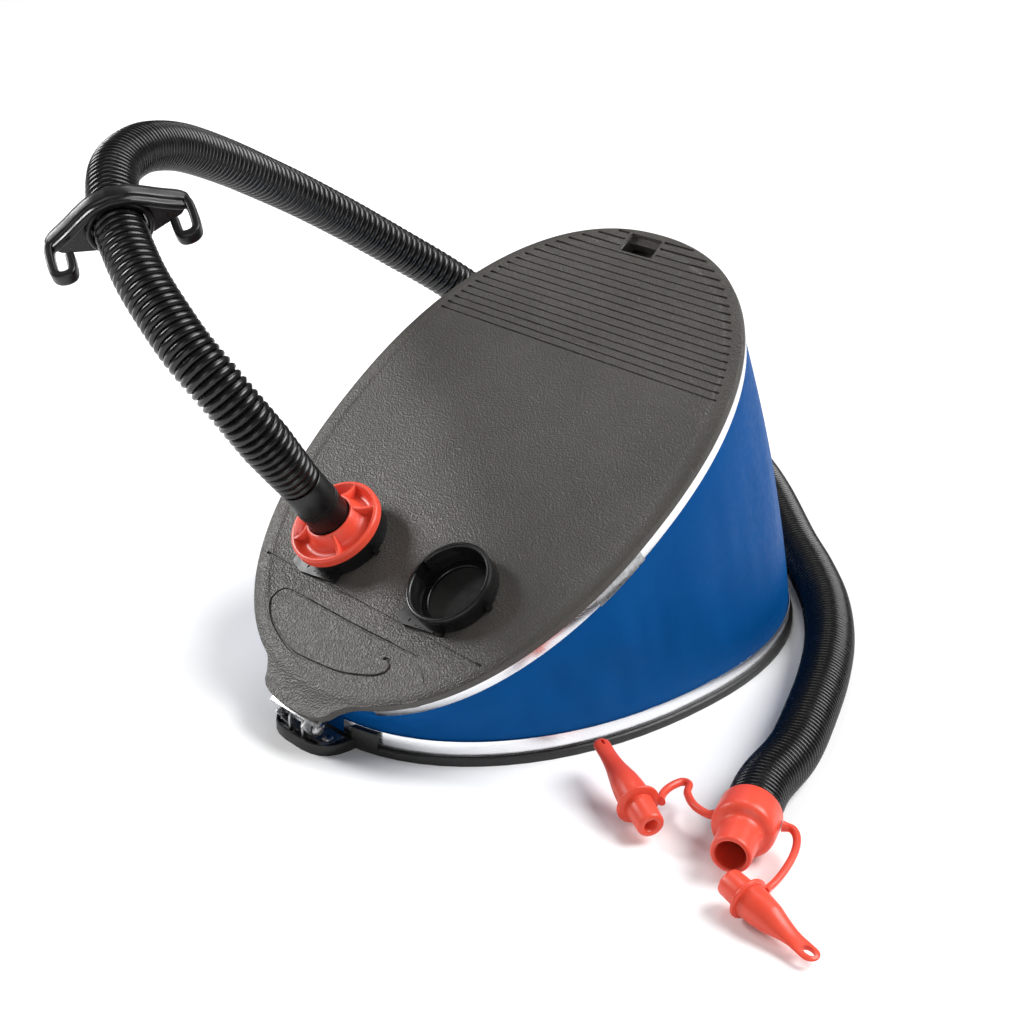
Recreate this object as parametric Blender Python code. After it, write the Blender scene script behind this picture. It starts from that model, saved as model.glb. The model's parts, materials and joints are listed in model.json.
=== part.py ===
"""A bellows foot pump with a ribbed hose, as separate pieces. Metres, +Z up.

X runs across the pump, and +Y from its hinge to its toe end. The origin is on the floor under the
middle of the base. The pieces of the pedal are made in the pedal's own frame, whose origin is on the
hinge axis: x across, y along the plate and z out of it.
"""

import math

import bmesh
import bpy
from mathutils import Matrix, Vector
from mathutils.geometry import interpolate_bezier

# Plates: both have the same egg-shaped outline, from above
HALF_LENGTH = 0.150
HALF_WIDTH = 0.113
OUTLINE_POWER = 2.2
TOE_WIDENING = 0.035
OUTLINE_STEPS = 72
GAP = 0.0003

# Hinge
HINGE_Y = -0.1604
HINGE_Z = 0.011
OPEN_ANGLE = math.radians(36)
PLATE_CENTRE = -HINGE_Y
PIN_RADIUS = 0.0020
PIN_HOLE_RADIUS = 0.0023
EAR_RADIUS = 0.0049
BRACKET_HALF_WIDTH = 0.0180
BRACKET_SCREW_X = 0.0140

# Layers at each plate's edge, as distances in from its outline
CLIP_INSETS = (0.0008, 0.0017)
BAND_INSETS = (0.0020, 0.0028)
HEM_INSETS = (0.0031, 0.0045)
WALL_INSETS = (0.0048, 0.0073)

# Base, from the floor up
BASE_EDGE = 0.0038
BASE_WALL_TOP = 0.0125
TRAY_FLOOR = 0.0030
TONGUE_TOP = 0.0055
TONGUE_Y = -0.1460

# Pedal, along its own z
PLATE_TOP = 0.0135
PLATE_UNDER = 0.0090
PEDAL_WALL_BOTTOM = 0.0015
TREAD_START, TREAD_END, TREAD_GROOVES = 0.2288, 0.3060, 19
SLOT_CENTRE = (-0.006, 0.3006)
SLOT_SIZE = (0.0215, 0.0118)

# Ports in the pedal
PORT_X, PORT_Y = 0.041, 0.0873
COLLAR_RADIUS = 0.0225
SPIGOT_RADIUS = 0.0212
BORE_RADIUS = 0.0193
COLLAR_HEIGHT = 0.0100
SPIGOT_BOTTOM = -0.0150
LOCK_ANGLE = math.radians(35)
INFLATE_TAB = (
    (-0.0190, -0.0115), (-0.0200, -0.0237), (-0.0110, -0.0272), (0.0138, -0.0240), (0.0125, -0.0165),
)
DEFLATE_TAB = (
    (-0.0190, -0.0115), (-0.0212, -0.0232), (-0.0158, -0.0264), (0.0104, -0.0226), (0.0092, -0.0165),
)

# Return spring, a helix whose axis is an arc round the hinge
SPRING_ARC_RADIUS = 0.165
SPRING_COIL_RADIUS = 0.0215
SPRING_WIRE_RADIUS = 0.00125
SPRING_TURNS = 6

# Hose
HOSE_RADIUS = 0.013
HOSE_SPACING = 0.018
FLOOR_HOSE_Z = 0.0134
HOSE_START = 0.0483
HOSE_ROUTE = (
    (-0.041, -0.1379, 0.1285), (-0.046, -0.1515, 0.1500), (-0.056, -0.1600, 0.1670),
    (-0.070, -0.1650, 0.1810), (-0.088, -0.1660, 0.1950), (-0.106, -0.1650, 0.2080),
    (-0.126, -0.1600, 0.2210), (-0.142, -0.1540, 0.2300), (-0.158, -0.1450, 0.2380),
    (-0.171, -0.1340, 0.2435), (-0.181, -0.1190, 0.2465), (-0.190, -0.1010, 0.2460),
    (-0.203, -0.0740, 0.2390), (-0.220, -0.0370, 0.2230), (-0.235, -0.0010, 0.2050),
    (-0.243, 0.0340, 0.1860), (-0.245, 0.0720, 0.1630), (-0.241, 0.1080, 0.1390),
    (-0.234, 0.1350, 0.1200), (-0.225, 0.1630, 0.0980), (-0.213, 0.1900, 0.0740),
    (-0.197, 0.2170, 0.0490), (-0.177, 0.2400, 0.0280), (-0.150, 0.2560, 0.0165),
    (-0.118, 0.2620, FLOOR_HOSE_Z), (-0.084, 0.2540, FLOOR_HOSE_Z), (-0.050, 0.2360, FLOOR_HOSE_Z),
    (-0.011, 0.2085, FLOOR_HOSE_Z), (0.040, 0.1665, FLOOR_HOSE_Z), (0.070, 0.1435, FLOOR_HOSE_Z),
    (0.099, 0.1180, FLOOR_HOSE_Z), (0.1255, 0.0870, FLOOR_HOSE_Z), (0.1475, 0.0530, FLOOR_HOSE_Z),
    (0.1669, 0.0163, FLOOR_HOSE_Z), (0.1809, -0.0143, FLOOR_HOSE_Z),
)
CLIP_PLACE = 0.171  # distance along the hose
CLIP_ACROSS = (0.5293, 0.8117, 0.2470)
CLIP_ARCH = (
    (0.0, -0.0174), (0.0085, -0.0158), (0.0160, -0.0118), (0.0230, -0.0072), (0.0300, -0.0032),
    (0.0364, -0.0006),
)
CLIP_HOOK = (
    (0.0350, 0.0010), (0.0352, -0.0210), (0.0334, -0.0248), (0.0290, -0.0260), (0.0266, -0.0235),
    (0.0260, -0.0120),
)
CLIP_WEB = ((0.0140, -0.0100), (0.0300, -0.0040), (0.0340, 0.0010), (0.0300, 0.0050), (0.0140, 0.0105))

# Nozzle and adapters, where they lie
NOZZLE_BACK = (0.2004, -0.0677, 0.0146)
NOZZLE_MOUTH = (0.2151, -0.0995, 0.0146)
NOZZLE_RADIUS = 0.0145
NOZZLE_BORE = 0.0067
ADAPTER_LEFT = {"flange": (0.1597, -0.0966, 0.0120), "tip": (0.1173, -0.0778, 0.0180), "radius": 0.0102}
ADAPTER_RIGHT = {"flange": (0.2354, -0.1119, 0.0100), "tip": (0.2720, -0.1166, 0.0052), "radius": 0.0096}
STRAP_RADIUS = 0.0019
STRAP_LEFT = (
    (0.1890, -0.0796, 0.0130), (0.1858, -0.0809, 0.0128), (0.1778, -0.0797, 0.0126),
    (0.1694, -0.0745, 0.0124), (0.1652, -0.0686, 0.0122), (0.1613, -0.0690, 0.0121),
    (0.1603, -0.0756, 0.0120), (0.1617, -0.0822, 0.0120), (0.1642, -0.0864, 0.0119),
)
STRAP_RIGHT = (
    (0.2162, -0.0648, 0.0136), (0.2200, -0.0634, 0.0134), (0.2251, -0.0668, 0.0128),
    (0.2300, -0.0746, 0.0120), (0.2338, -0.0850, 0.0110), (0.2361, -0.0950, 0.0103),
    (0.2367, -0.1016, 0.0100),
)

PLASTIC_PLATE = ("plate_plastic", (0.075, 0.070, 0.064), 0.55, 0.0)
PLASTIC_BLACK = ("black_plastic", (0.012, 0.012, 0.013), 0.35, 0.0)
PLASTIC_RED = ("red_plastic", (0.85, 0.06, 0.03), 0.38, 0.0)
HOSE_PLASTIC = ("hose_plastic", (0.014, 0.014, 0.015), 0.30, 0.0)
BELLOWS_SHEET = ("bellows_sheet", (0.004, 0.055, 0.28), 0.42, 0.0)
ALUMINIUM = ("aluminium", (0.80, 0.80, 0.82), 0.25, 1.0)
ZINC = ("zinc_steel", (0.60, 0.61, 0.62), 0.35, 1.0)
RUBBER = ("rubber", (0.030, 0.030, 0.028), 0.60, 0.0)


# Scene and object helpers

def clear_scene():
    for obj in list(bpy.data.objects):
        bpy.data.objects.remove(obj)


def material(spec):
    name, colour, roughness, metallic = spec
    made = bpy.data.materials.get(name)
    if made is None:
        made = bpy.data.materials.new(name)
        made.use_nodes = True
        shader = made.node_tree.nodes["Principled BSDF"]
        shader.inputs["Base Color"].default_value = (*colour, 1.0)
        shader.inputs["Roughness"].default_value = roughness
        shader.inputs["Metallic"].default_value = metallic
        made.diffuse_color = (*colour, 1.0)
    return made


def new_object(name, data, spec, parent):
    obj = bpy.data.objects.new(name, data)
    bpy.context.scene.collection.objects.link(obj)
    if spec is not None:
        data.materials.append(material(spec))
    obj.parent = parent
    return obj


def frame(name, location, rotation=None, parent=None):
    """An empty that holds pieces in a frame of their own."""
    empty = bpy.data.objects.new(name, None)
    bpy.context.scene.collection.objects.link(empty)
    empty.parent = parent
    turn = Matrix.Identity(4) if rotation is None else rotation.to_4x4()
    empty.matrix_local = Matrix.Translation(location) @ turn
    return empty


def solid(name, spec, parent, vertices, faces, smooth=30):
    mesh = bpy.data.meshes.new(name)
    mesh.from_pydata([tuple(v) for v in vertices], [], faces)
    work = bmesh.new()
    work.from_mesh(mesh)
    bmesh.ops.recalc_face_normals(work, faces=work.faces)
    work.to_mesh(mesh)
    work.free()
    mesh.shade_smooth()
    mesh.set_sharp_from_angle(angle=math.radians(smooth))
    return new_object(name, mesh, spec, parent)


def lofted(name, spec, parent, loops, around=True, along=True):
    """A solid skinned over loops of points, one after another.

    around joins each loop's last point to its first, and along joins the last loop to the first.
    Where either is open, its ends are closed with flat faces.
    """
    rows, columns = len(loops), len(loops[0])
    vertices = [point for loop in loops for point in loop]
    faces = []
    for row in range(rows if along else rows - 1):
        upper = (row + 1) % rows
        for column in range(columns if around else columns - 1):
            side = (column + 1) % columns
            faces.append((row * columns + column, row * columns + side,
                          upper * columns + side, upper * columns + column))
    if not along:
        faces.append(tuple(range(columns)))
        faces.append(tuple((rows - 1) * columns + c for c in range(columns)))
    if not around:
        faces.append(tuple(r * columns for r in range(rows)))
        faces.append(tuple(r * columns + columns - 1 for r in range(rows)))
    return solid(name, spec, parent, vertices, faces)


def prism(name, spec, parent, points, low, high):
    loops = [[(x, y, z) for x, y in points] for z in (low, high)]
    return lofted(name, spec, parent, loops, along=False)


def box(name, spec, parent, low, high):
    corners = [(low[0], low[1]), (high[0], low[1]), (high[0], high[1]), (low[0], high[1])]
    return prism(name, spec, parent, corners, low[2], high[2])


def circle(radius, z, sides, centre=(0.0, 0.0)):
    steps = [2 * math.pi * i / sides for i in range(sides)]
    return [(centre[0] + radius * math.cos(a), centre[1] + radius * math.sin(a), z) for a in steps]


def turned(name, spec, parent, profile, sides=48, hollow=False):
    """A body turned about its own z from (radius, z) points. A hollow one is a ring."""
    loops = [circle(radius, z, sides) for radius, z in profile]
    return lofted(name, spec, parent, loops, along=hollow)


def boolean(target, other, operation):
    other.hide_render = True
    other.display_type = "WIRE"
    change = target.modifiers.new(other.name, "BOOLEAN")
    change.object = other
    change.operation = operation
    change.solver = "EXACT"


def cut(target, *others):
    for other in others:
        boolean(target, other, "DIFFERENCE")


def add(target, *others):
    for other in others:
        boolean(target, other, "UNION")


# Outlines

def signed_power(value, power):
    return math.copysign(abs(value) ** power, value)


def raw_outline(angle):
    power = 2 / OUTLINE_POWER
    along = signed_power(math.cos(angle), power)
    across = signed_power(math.sin(angle), power)
    return Vector((HALF_WIDTH * across * (1 + TOE_WIDENING * along), HALF_LENGTH * along))


def outline_point(angle, inset):
    """The point at this angle from the toe, moved in from the plate's outline."""
    step = 1e-3
    tangent = (raw_outline(angle + step) - raw_outline(angle - step)).normalized()
    point = raw_outline(angle) + inset * Vector((tangent.y, -tangent.x))
    return point.x, point.y


def full_outline(inset, centre):
    angles = [2 * math.pi * (i + 0.5) / OUTLINE_STEPS for i in range(OUTLINE_STEPS)]
    points = [outline_point(a, inset) for a in angles]
    return [(x, y + centre) for x, y in points]


def part_outline(inset, centre, start, end, steps):
    angles = [start + (end - start) * i / steps for i in range(steps + 1)]
    points = [outline_point(a, inset) for a in angles]
    return [(x, y + centre) for x, y in points]


def outline_ring(name, spec, parent, insets, low, high, centre=0.0):
    """A wall that follows the whole outline."""
    corners = ((insets[0], low), (insets[0], high), (insets[1], high), (insets[1], low))
    loops = [[(x, y, z) for x, y in full_outline(inset, centre)] for inset, z in corners]
    return lofted(name, spec, parent, loops)


def outline_strip(name, spec, parent, insets, low, high, span, steps, centre=0.0):
    """A wall that follows the outline over a span of angles."""
    corners = ((insets[0], low), (insets[0], high), (insets[1], high), (insets[1], low))
    loops = [[(x, y, z) for x, y in part_outline(inset, centre, *span, steps)] for inset, z in corners]
    return lofted(name, spec, parent, loops, around=False)


def lobe(half_width, depth, power, centre_y, steps=24):
    """The outline of the plates' tongues at the hinge."""
    points = []
    for i in range(steps):
        angle = 2 * math.pi * (i + 0.5) / steps
        points.append((half_width * signed_power(math.cos(angle), 2 / power),
                       centre_y + depth * signed_power(math.sin(angle), 2 / power)))
    return points


# Curves

def smooth_route(points, spacing):
    """Evenly spaced points on a smooth curve through the given ones."""
    points = [Vector(p) for p in points]
    before = [points[0] * 2 - points[1]] + points[:-1]
    after = points[1:] + [points[-1] * 2 - points[-2]]
    tangents = [(a - b) / 6 for a, b in zip(after, before)]
    dense = []
    for i in range(len(points) - 1):
        ends = (points[i], points[i] + tangents[i], points[i + 1] - tangents[i + 1], points[i + 1])
        dense += interpolate_bezier(*ends, 24)[:-1]
    dense.append(points[-1])
    travelled = [0.0]
    for a, b in zip(dense, dense[1:]):
        travelled.append(travelled[-1] + (b - a).length)
    count = round(travelled[-1] / spacing)
    return [point_along(dense, travelled, travelled[-1] * i / count) for i in range(count + 1)]


def point_along(dense, travelled, distance):
    for i in range(len(dense) - 1):
        if travelled[i + 1] >= distance:
            share = (distance - travelled[i]) / (travelled[i + 1] - travelled[i])
            return dense[i].lerp(dense[i + 1], share)
    return dense[-1]


def round_bar(name, spec, parent, points, radius, resolution):
    curve = bpy.data.curves.new(name, "CURVE")
    curve.dimensions = "3D"
    curve.bevel_depth = radius
    curve.bevel_resolution = resolution
    curve.use_fill_caps = True
    curve.twist_mode = "MINIMUM"
    spline = curve.splines.new("POLY")
    spline.points.add(len(points) - 1)
    for made, point in zip(spline.points, points):
        made.co = (*point, 1.0)
    return new_object(name, curve, spec, parent)


# Base

def base_plate():
    plate = prism("base_plate", PLASTIC_BLACK, None, full_outline(0.0, 0.0), 0.0, BASE_EDGE)
    tongue = prism("tongue", None, None, lobe(0.0235, 0.0215, 3.0, TONGUE_Y), 0.0, TONGUE_TOP)
    wall = outline_ring("base_wall", None, None, WALL_INSETS, BASE_EDGE - 0.001, BASE_WALL_TOP)
    cheeks = [outline_strip(f"cheek_{i}", None, None, (-0.0008, 0.0016), 0.0028, 0.0120, span, 6)
              for i, span in enumerate(((math.pi - 0.30, math.pi - 0.17), (math.pi + 0.17, math.pi + 0.30)))]
    tray = prism("tray", None, None, lobe(0.0215, 0.0198, 4.0, TONGUE_Y), TRAY_FLOOR, 0.02)
    cut(tray, prism("tray_limit", None, None, full_outline(0.0019, 0.0), -0.01, 0.03))
    cut(tongue, prism("tongue_limit", None, None, full_outline(0.0019, 0.0), BASE_EDGE, 0.03))
    add(plate, tongue)
    cut(plate, tray)
    add(plate, wall, *cheeks)
    pockets = prism("pockets", None, None, full_outline(0.0085, 0.0), -0.001, 0.0025)
    for i, x in enumerate((-0.055, 0.0, 0.055)):
        cut(pockets, box(f"rib_along_{i}", None, None, (x - 0.002, -0.2, -0.01), (x + 0.002, 0.2, 0.01)))
    for i, y in enumerate((-0.100, -0.050, 0.0, 0.050, 0.100)):
        cut(pockets, box(f"rib_across_{i}", None, None, (-0.2, y - 0.002, -0.01), (0.2, y + 0.002, 0.01)))
    cut(plate, pockets)
    for side in (-1, 1):
        edge = circle(0.0018, 0, 16, (side * BRACKET_SCREW_X, HINGE_Y + 0.0035))
        hole = prism(f"base_screw_hole_{side}", None, None, [(x, y) for x, y, _ in edge], 0.0006, 0.02)
        cut(plate, hole)


def base_edge_pieces():
    gap_angle = 0.11
    outline_strip("base_band", ALUMINIUM, None, BAND_INSETS, BASE_EDGE + GAP, BASE_WALL_TOP - 0.0001,
                  (-math.pi + gap_angle, math.pi - gap_angle), OUTLINE_STEPS)
    outline_strip("base_band_clip", ZINC, None, CLIP_INSETS, BASE_EDGE + 0.0006, BASE_WALL_TOP - 0.0004,
                  (1.5 * math.pi - 0.10, 1.5 * math.pi + 0.10), 6)


def ear(name, parent, x, thickness, reach_axis, reach):
    """A hinge ear with a round end on the hinge axis and a straight foot. It is cut from plate."""
    points = [(EAR_RADIUS * math.cos(math.radians(a)), EAR_RADIUS * math.sin(math.radians(a)))
              for a in range(0, 181, 15)]
    points += [(-EAR_RADIUS, -reach), (EAR_RADIUS, -reach)]
    loops = [[(side, reach_axis * y, reach_axis * z) for y, z in points]
             for side in (x - thickness / 2, x + thickness / 2)]
    return lofted(name, None, parent, loops, along=False)


def pin_hole(name, parent):
    loops = [[(x, y, z) for y, z, _ in circle(PIN_HOLE_RADIUS, 0, 24)] for x in (-0.05, 0.05)]
    return lofted(name, None, parent, loops, along=False)


def screw(name, spec, parent, place, head_low, head_high, tip):
    """A pan-head screw along z, whose head is from head_low to head_high and whose shank ends at tip."""
    down = 1 if head_high > tip else -1
    profile = [(0.0015, tip), (0.0015, head_low), (0.0029, head_low),
               (0.0029, head_low + down * 0.0006), (0.0018, head_high)]
    made = turned(name, spec, parent, profile, sides=16)
    made.location = place
    return made


def base_hinge(hinge):
    flange = box("base_hinge_bracket", ZINC, None,
                 (-BRACKET_HALF_WIDTH, HINGE_Y - 0.0012, TRAY_FLOOR + GAP),
                 (BRACKET_HALF_WIDTH, -0.1500, TRAY_FLOOR + GAP + 0.0015))
    for side in (-1, 1):
        add(flange, ear(f"base_ear_{side}", hinge, side * 0.0050, 0.0015, 1, 0.0070))
    cut(flange, pin_hole("base_pin_hole", hinge))
    for side in (-1, 1):
        place = (side * BRACKET_SCREW_X, HINGE_Y + 0.0035)
        cut(flange, prism(f"base_flange_hole_{side}", None, None,
                          [(x, y) for x, y, _ in circle(0.0019, 0, 16, place)], 0.0, 0.02))
    for side, word in ((-1, "left"), (1, "right")):
        screw(f"base_bracket_screw_{word}", ZINC, None,
              (side * BRACKET_SCREW_X, HINGE_Y + 0.0035, TRAY_FLOOR + GAP + 0.0015 + GAP),
              0.0, 0.0014, -0.0040)
    profile = [(0.0026, -0.0128), (0.0031, -0.0123), (0.0031, -0.0112), (PIN_RADIUS, -0.0112),
               (PIN_RADIUS, 0.0112), (0.0036, 0.0112), (0.0036, 0.0122), (0.0026, 0.0134), (0.0010, 0.0139)]
    pin = turned("hinge_pin", ZINC, hinge, profile, sides=24)
    pin.rotation_euler = (0, math.pi / 2, 0)


def bellows():
    """The sheet between the two hems: rows from the base's band up to the pedal's."""
    tilt = Matrix.Rotation(OPEN_ANGLE, 4, "X")
    hinge = Matrix.Translation((0, HINGE_Y, HINGE_Z))

    def row(share, inset):
        base = [Vector((x, y, BASE_WALL_TOP)) for x, y in full_outline(inset, 0.0)]
        hem = full_outline(inset, PLATE_CENTRE)
        pedal = [hinge @ tilt @ Vector((x, y, PEDAL_WALL_BOTTOM)) for x, y in hem]
        made = []
        for low, high in zip(base, pedal):
            outward = Vector((low.x, low.y, 0)).normalized()
            swell = 0.02 * (high - low).length * math.sin(math.pi * share)
            made.append(low.lerp(high, share) + outward * swell)
        return made

    def wall(inset):
        low = [Vector((x, y, BASE_EDGE + GAP)) for x, y in full_outline(inset, 0.0)]
        hem = full_outline(inset, PLATE_CENTRE)
        high = [hinge @ tilt @ Vector((x, y, PLATE_UNDER - GAP)) for x, y in hem]
        return [low] + [row(i / 4, inset) for i in range(5)] + [high]

    outer, inner = wall(HEM_INSETS[0]), wall(HEM_INSETS[1])
    lofted("bellows", BELLOWS_SHEET, None, outer + inner[::-1])


def spring_seat(name, parent, centre, low, direction):
    """A dish that holds one end of the return spring, with a boss inside the coil."""
    profile = [(0.0260, 0.0), (0.0260, 0.0020), (0.0175, 0.0020), (0.0165, 0.0065), (0.0150, 0.0070)]
    profile = [(radius, direction * z) for radius, z in profile]
    seat = turned(name, PLASTIC_BLACK, parent, profile, sides=36)
    seat.location = (0.0, centre, low)


def return_spring(hinge):
    """The end coils lie nearly flat on their seats, and the coils between them open evenly."""
    clearance = SPRING_WIRE_RADIUS + 0.0006
    first = (BASE_EDGE + GAP + 0.0020 + clearance - HINGE_Z) / SPRING_ARC_RADIUS
    last = OPEN_ANGLE + (PLATE_UNDER - GAP - 0.0020 - clearance) / SPRING_ARC_RADIUS
    end_rise = 0.0036 / SPRING_ARC_RADIUS
    steps = 12
    points = []
    for i in range(SPRING_TURNS * steps + 1):
        turn = i / steps
        if turn < 1:
            lift = first + end_rise * turn
        elif turn > SPRING_TURNS - 1:
            lift = last - end_rise * (SPRING_TURNS - turn)
        else:
            share = (turn - 1) / (SPRING_TURNS - 2)
            lift = (first + end_rise) * (1 - share) + (last - end_rise) * share
        coil = 2 * math.pi * turn
        reach = SPRING_ARC_RADIUS + SPRING_COIL_RADIUS * math.cos(coil)
        points.append((SPRING_COIL_RADIUS * math.sin(coil), reach * math.cos(lift), reach * math.sin(lift)))
    round_bar("return_spring", ZINC, hinge, points, SPRING_WIRE_RADIUS, 2)


# Pedal

def half_width_at(y, inset):
    """Half the plate's width at a distance along the pedal, less an inset."""
    along = min(1.0, abs(y - PLATE_CENTRE) / HALF_LENGTH)
    across = (1 - along ** OUTLINE_POWER) ** (1 / OUTLINE_POWER)
    widening = 1 + TOE_WIDENING * (y - PLATE_CENTRE) / HALF_LENGTH
    return max(0.0, HALF_WIDTH * across * widening - inset)


def tread_cutter(pedal):
    vertices, faces = [], []
    pitch = (TREAD_END - TREAD_START) / (TREAD_GROOVES - 1)
    for i in range(TREAD_GROOVES):
        y = TREAD_START + pitch * i
        reach = half_width_at(y, 0.0085)
        spans = [(-reach, reach)]
        if abs(y - SLOT_CENTRE[1]) < SLOT_SIZE[1] / 2 + 0.0012:
            left, right = SLOT_CENTRE[0] - SLOT_SIZE[0] / 2, SLOT_CENTRE[0] + SLOT_SIZE[0] / 2
            spans = [(-reach, left - 0.0015), (right + 0.0015, reach)]
        for low, high in spans:
            if high - low < 0.004:
                continue
            start = len(vertices)
            for z in (PLATE_TOP - 0.0007, PLATE_TOP + 0.001):
                vertices += [(low, y - 0.0004, z), (high, y - 0.0004, z),
                             (high, y + 0.0004, z), (low, y + 0.0004, z)]
            for face in ((0, 3, 2, 1), (4, 5, 6, 7), (0, 1, 5, 4), (1, 2, 6, 5), (2, 3, 7, 6), (3, 0, 4, 7)):
                faces.append(tuple(start + corner for corner in face))
    return solid("tread_grooves", None, pedal, vertices, faces)


def top_plate(pedal):
    plate = prism("top_plate", PLASTIC_PLATE, pedal, full_outline(0.0, PLATE_CENTRE), PLATE_UNDER, PLATE_TOP)
    add(plate, prism("lug", None, pedal, lobe(0.0245, 0.0140, 2.6, 0.0135), PLATE_UNDER, PLATE_TOP))
    add(plate, outline_ring("pedal_wall", None, pedal, WALL_INSETS, PEDAL_WALL_BOTTOM, PLATE_UNDER + 0.001,
                            PLATE_CENTRE))
    x, y = SLOT_CENTRE
    half_x, half_y = SLOT_SIZE[0] / 2, SLOT_SIZE[1] / 2
    add(plate, box("pocket_shell", None, pedal, (x - half_x - 0.0015, y - half_y - 0.0015, 0.0030),
                   (x + half_x + 0.0015, 0.3038, PLATE_UNDER + 0.001)))
    cut(plate, box("slot_mouth", None, pedal,
                   (x - half_x, y - half_y, 0.0105), (x + half_x, y + half_y, 0.02)))
    cut(plate, box("slot_pocket", None, pedal,
                   (x - half_x, y - half_y, 0.0045), (x + half_x, 0.3024, 0.0110)))
    cut(plate, tread_cutter(pedal))
    for word, side in (("left", -1), ("right", 1)):
        cut(plate, prism(f"port_hole_{word}", None, pedal,
                         [(a, b) for a, b, _ in circle(0.0215, 0, 48, (side * PORT_X, PORT_Y))], -0.01, 0.03))
        cut(plate, prism(f"pedal_screw_hole_{word}", None, pedal,
                         [(a, b) for a, b, _ in circle(0.0018, 0, 16, (side * BRACKET_SCREW_X, 0.0058))],
                         0.0, PLATE_TOP - 0.0012))


def pedal_edge_pieces(pedal):
    gap_angle = 0.33
    outline_strip("top_band", ALUMINIUM, pedal, BAND_INSETS, PEDAL_WALL_BOTTOM + 0.0001, PLATE_UNDER - GAP,
                  (-math.pi + gap_angle, math.pi - gap_angle), OUTLINE_STEPS, PLATE_CENTRE)
    outline_strip("top_band_clip", ZINC, pedal, CLIP_INSETS, PEDAL_WALL_BOTTOM + 0.0004, PLATE_UNDER - 0.0006,
                  (0.5 * math.pi + 0.08, 0.5 * math.pi + 0.27), 6, PLATE_CENTRE)


def pedal_hinge(pedal):
    high = PLATE_UNDER - GAP
    flange = box("pedal_hinge_bracket", ZINC, pedal, (-BRACKET_HALF_WIDTH, -0.0015, high - 0.0015),
                 (BRACKET_HALF_WIDTH, 0.0115, high))
    for side in (-1, 1):
        add(flange, ear(f"pedal_ear_{side}", pedal, side * 0.0100, 0.0015, -1, 0.0080))
    cut(flange, pin_hole("pedal_pin_hole", pedal))
    for side in (-1, 1):
        place = (side * BRACKET_SCREW_X, 0.0058)
        cut(flange, prism(f"pedal_flange_hole_{side}", None, pedal,
                          [(x, y) for x, y, _ in circle(0.0019, 0, 16, place)], 0.0, 0.02))
    for side, word in ((-1, "left"), (1, "right")):
        screw(f"pedal_bracket_screw_{word}", ZINC, pedal,
              (side * BRACKET_SCREW_X, 0.0058, high - 0.0015 - GAP), 0.0, -0.0014, 0.0050)


def collar(name, port, tab_outline):
    """A port collar: a ring that stands on the plate, with a grooved bore, entry slots and a flat tab."""
    profile = [(COLLAR_RADIUS, GAP), (COLLAR_RADIUS, 0.0093), (0.0219, COLLAR_HEIGHT),
               (0.0200, COLLAR_HEIGHT), (BORE_RADIUS, 0.0093), (BORE_RADIUS, 0.0052), (0.0207, 0.0047),
               (0.0207, 0.0012), (BORE_RADIUS, 0.0007), (BORE_RADIUS, SPIGOT_BOTTOM),
               (SPIGOT_RADIUS, SPIGOT_BOTTOM), (SPIGOT_RADIUS, GAP)]
    ring = turned(name, PLASTIC_BLACK, port, profile, hollow=True)
    tab = prism(f"{name}_tab", None, port, tab_outline, GAP, GAP + 0.0012)
    cut(tab, turned(f"{name}_tab_bore", None, port, [(0.0218, -0.01), (0.0218, 0.02)]))
    add(ring, tab)
    for side in (-1, 1):
        low, high = sorted((side * 0.0180, side * 0.0206))
        cut(ring, box(f"{name}_slot_{side}", None, port, (low, -0.0036, 0.0030), (high, 0.0036, 0.0120)))


def pierced_disc(name, spec, port, radius, low, high):
    """A disc with a hole for a valve stem and four windows round it."""
    disc = turned(name, spec, port, [(radius, low), (radius, high)])
    cut(disc, turned(f"{name}_stem_hole", None, port, [(0.0024, low - 0.01), (0.0024, high + 0.01)], 20))
    for i in range(4):
        angle = math.pi / 4 + i * math.pi / 2
        place = (0.0105 * math.cos(angle), 0.0105 * math.sin(angle))
        cut(disc, prism(f"{name}_window_{i}", None, port,
                        [(x, y) for x, y, _ in circle(0.0042, 0, 20, place)], low - 0.01, high + 0.01))


def valves(inflate, deflate):
    pierced_disc("inflate_valve_seat", PLASTIC_BLACK, inflate, 0.0190, -0.0095, -0.0070)
    turned("inflate_valve_flap", RUBBER, inflate,
           [(0.0030, -0.0155), (0.0033, -0.0130), (0.0033, -0.0125), (0.0020, -0.0125), (0.0020, -0.0067),
            (0.0165, -0.0067), (0.0165, -0.0055), (0.0160, -0.0052)])
    turned("deflate_valve_seat", PLASTIC_BLACK, deflate,
           [(0.0190, -0.0030), (0.0190, -0.0015), (0.0163, -0.0015), (0.0160, -0.0018), (0.0160, -0.0030)],
           hollow=True)
    turned("deflate_valve_flap", RUBBER, deflate,
           [(0.0020, -0.0150), (0.0020, -0.0048), (0.0178, -0.0048), (0.0178, -0.0036), (0.0175, -0.0033)])
    pierced_disc("deflate_valve_cage", PLASTIC_BLACK, deflate, 0.0190, -0.0120, -0.0095)


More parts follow.
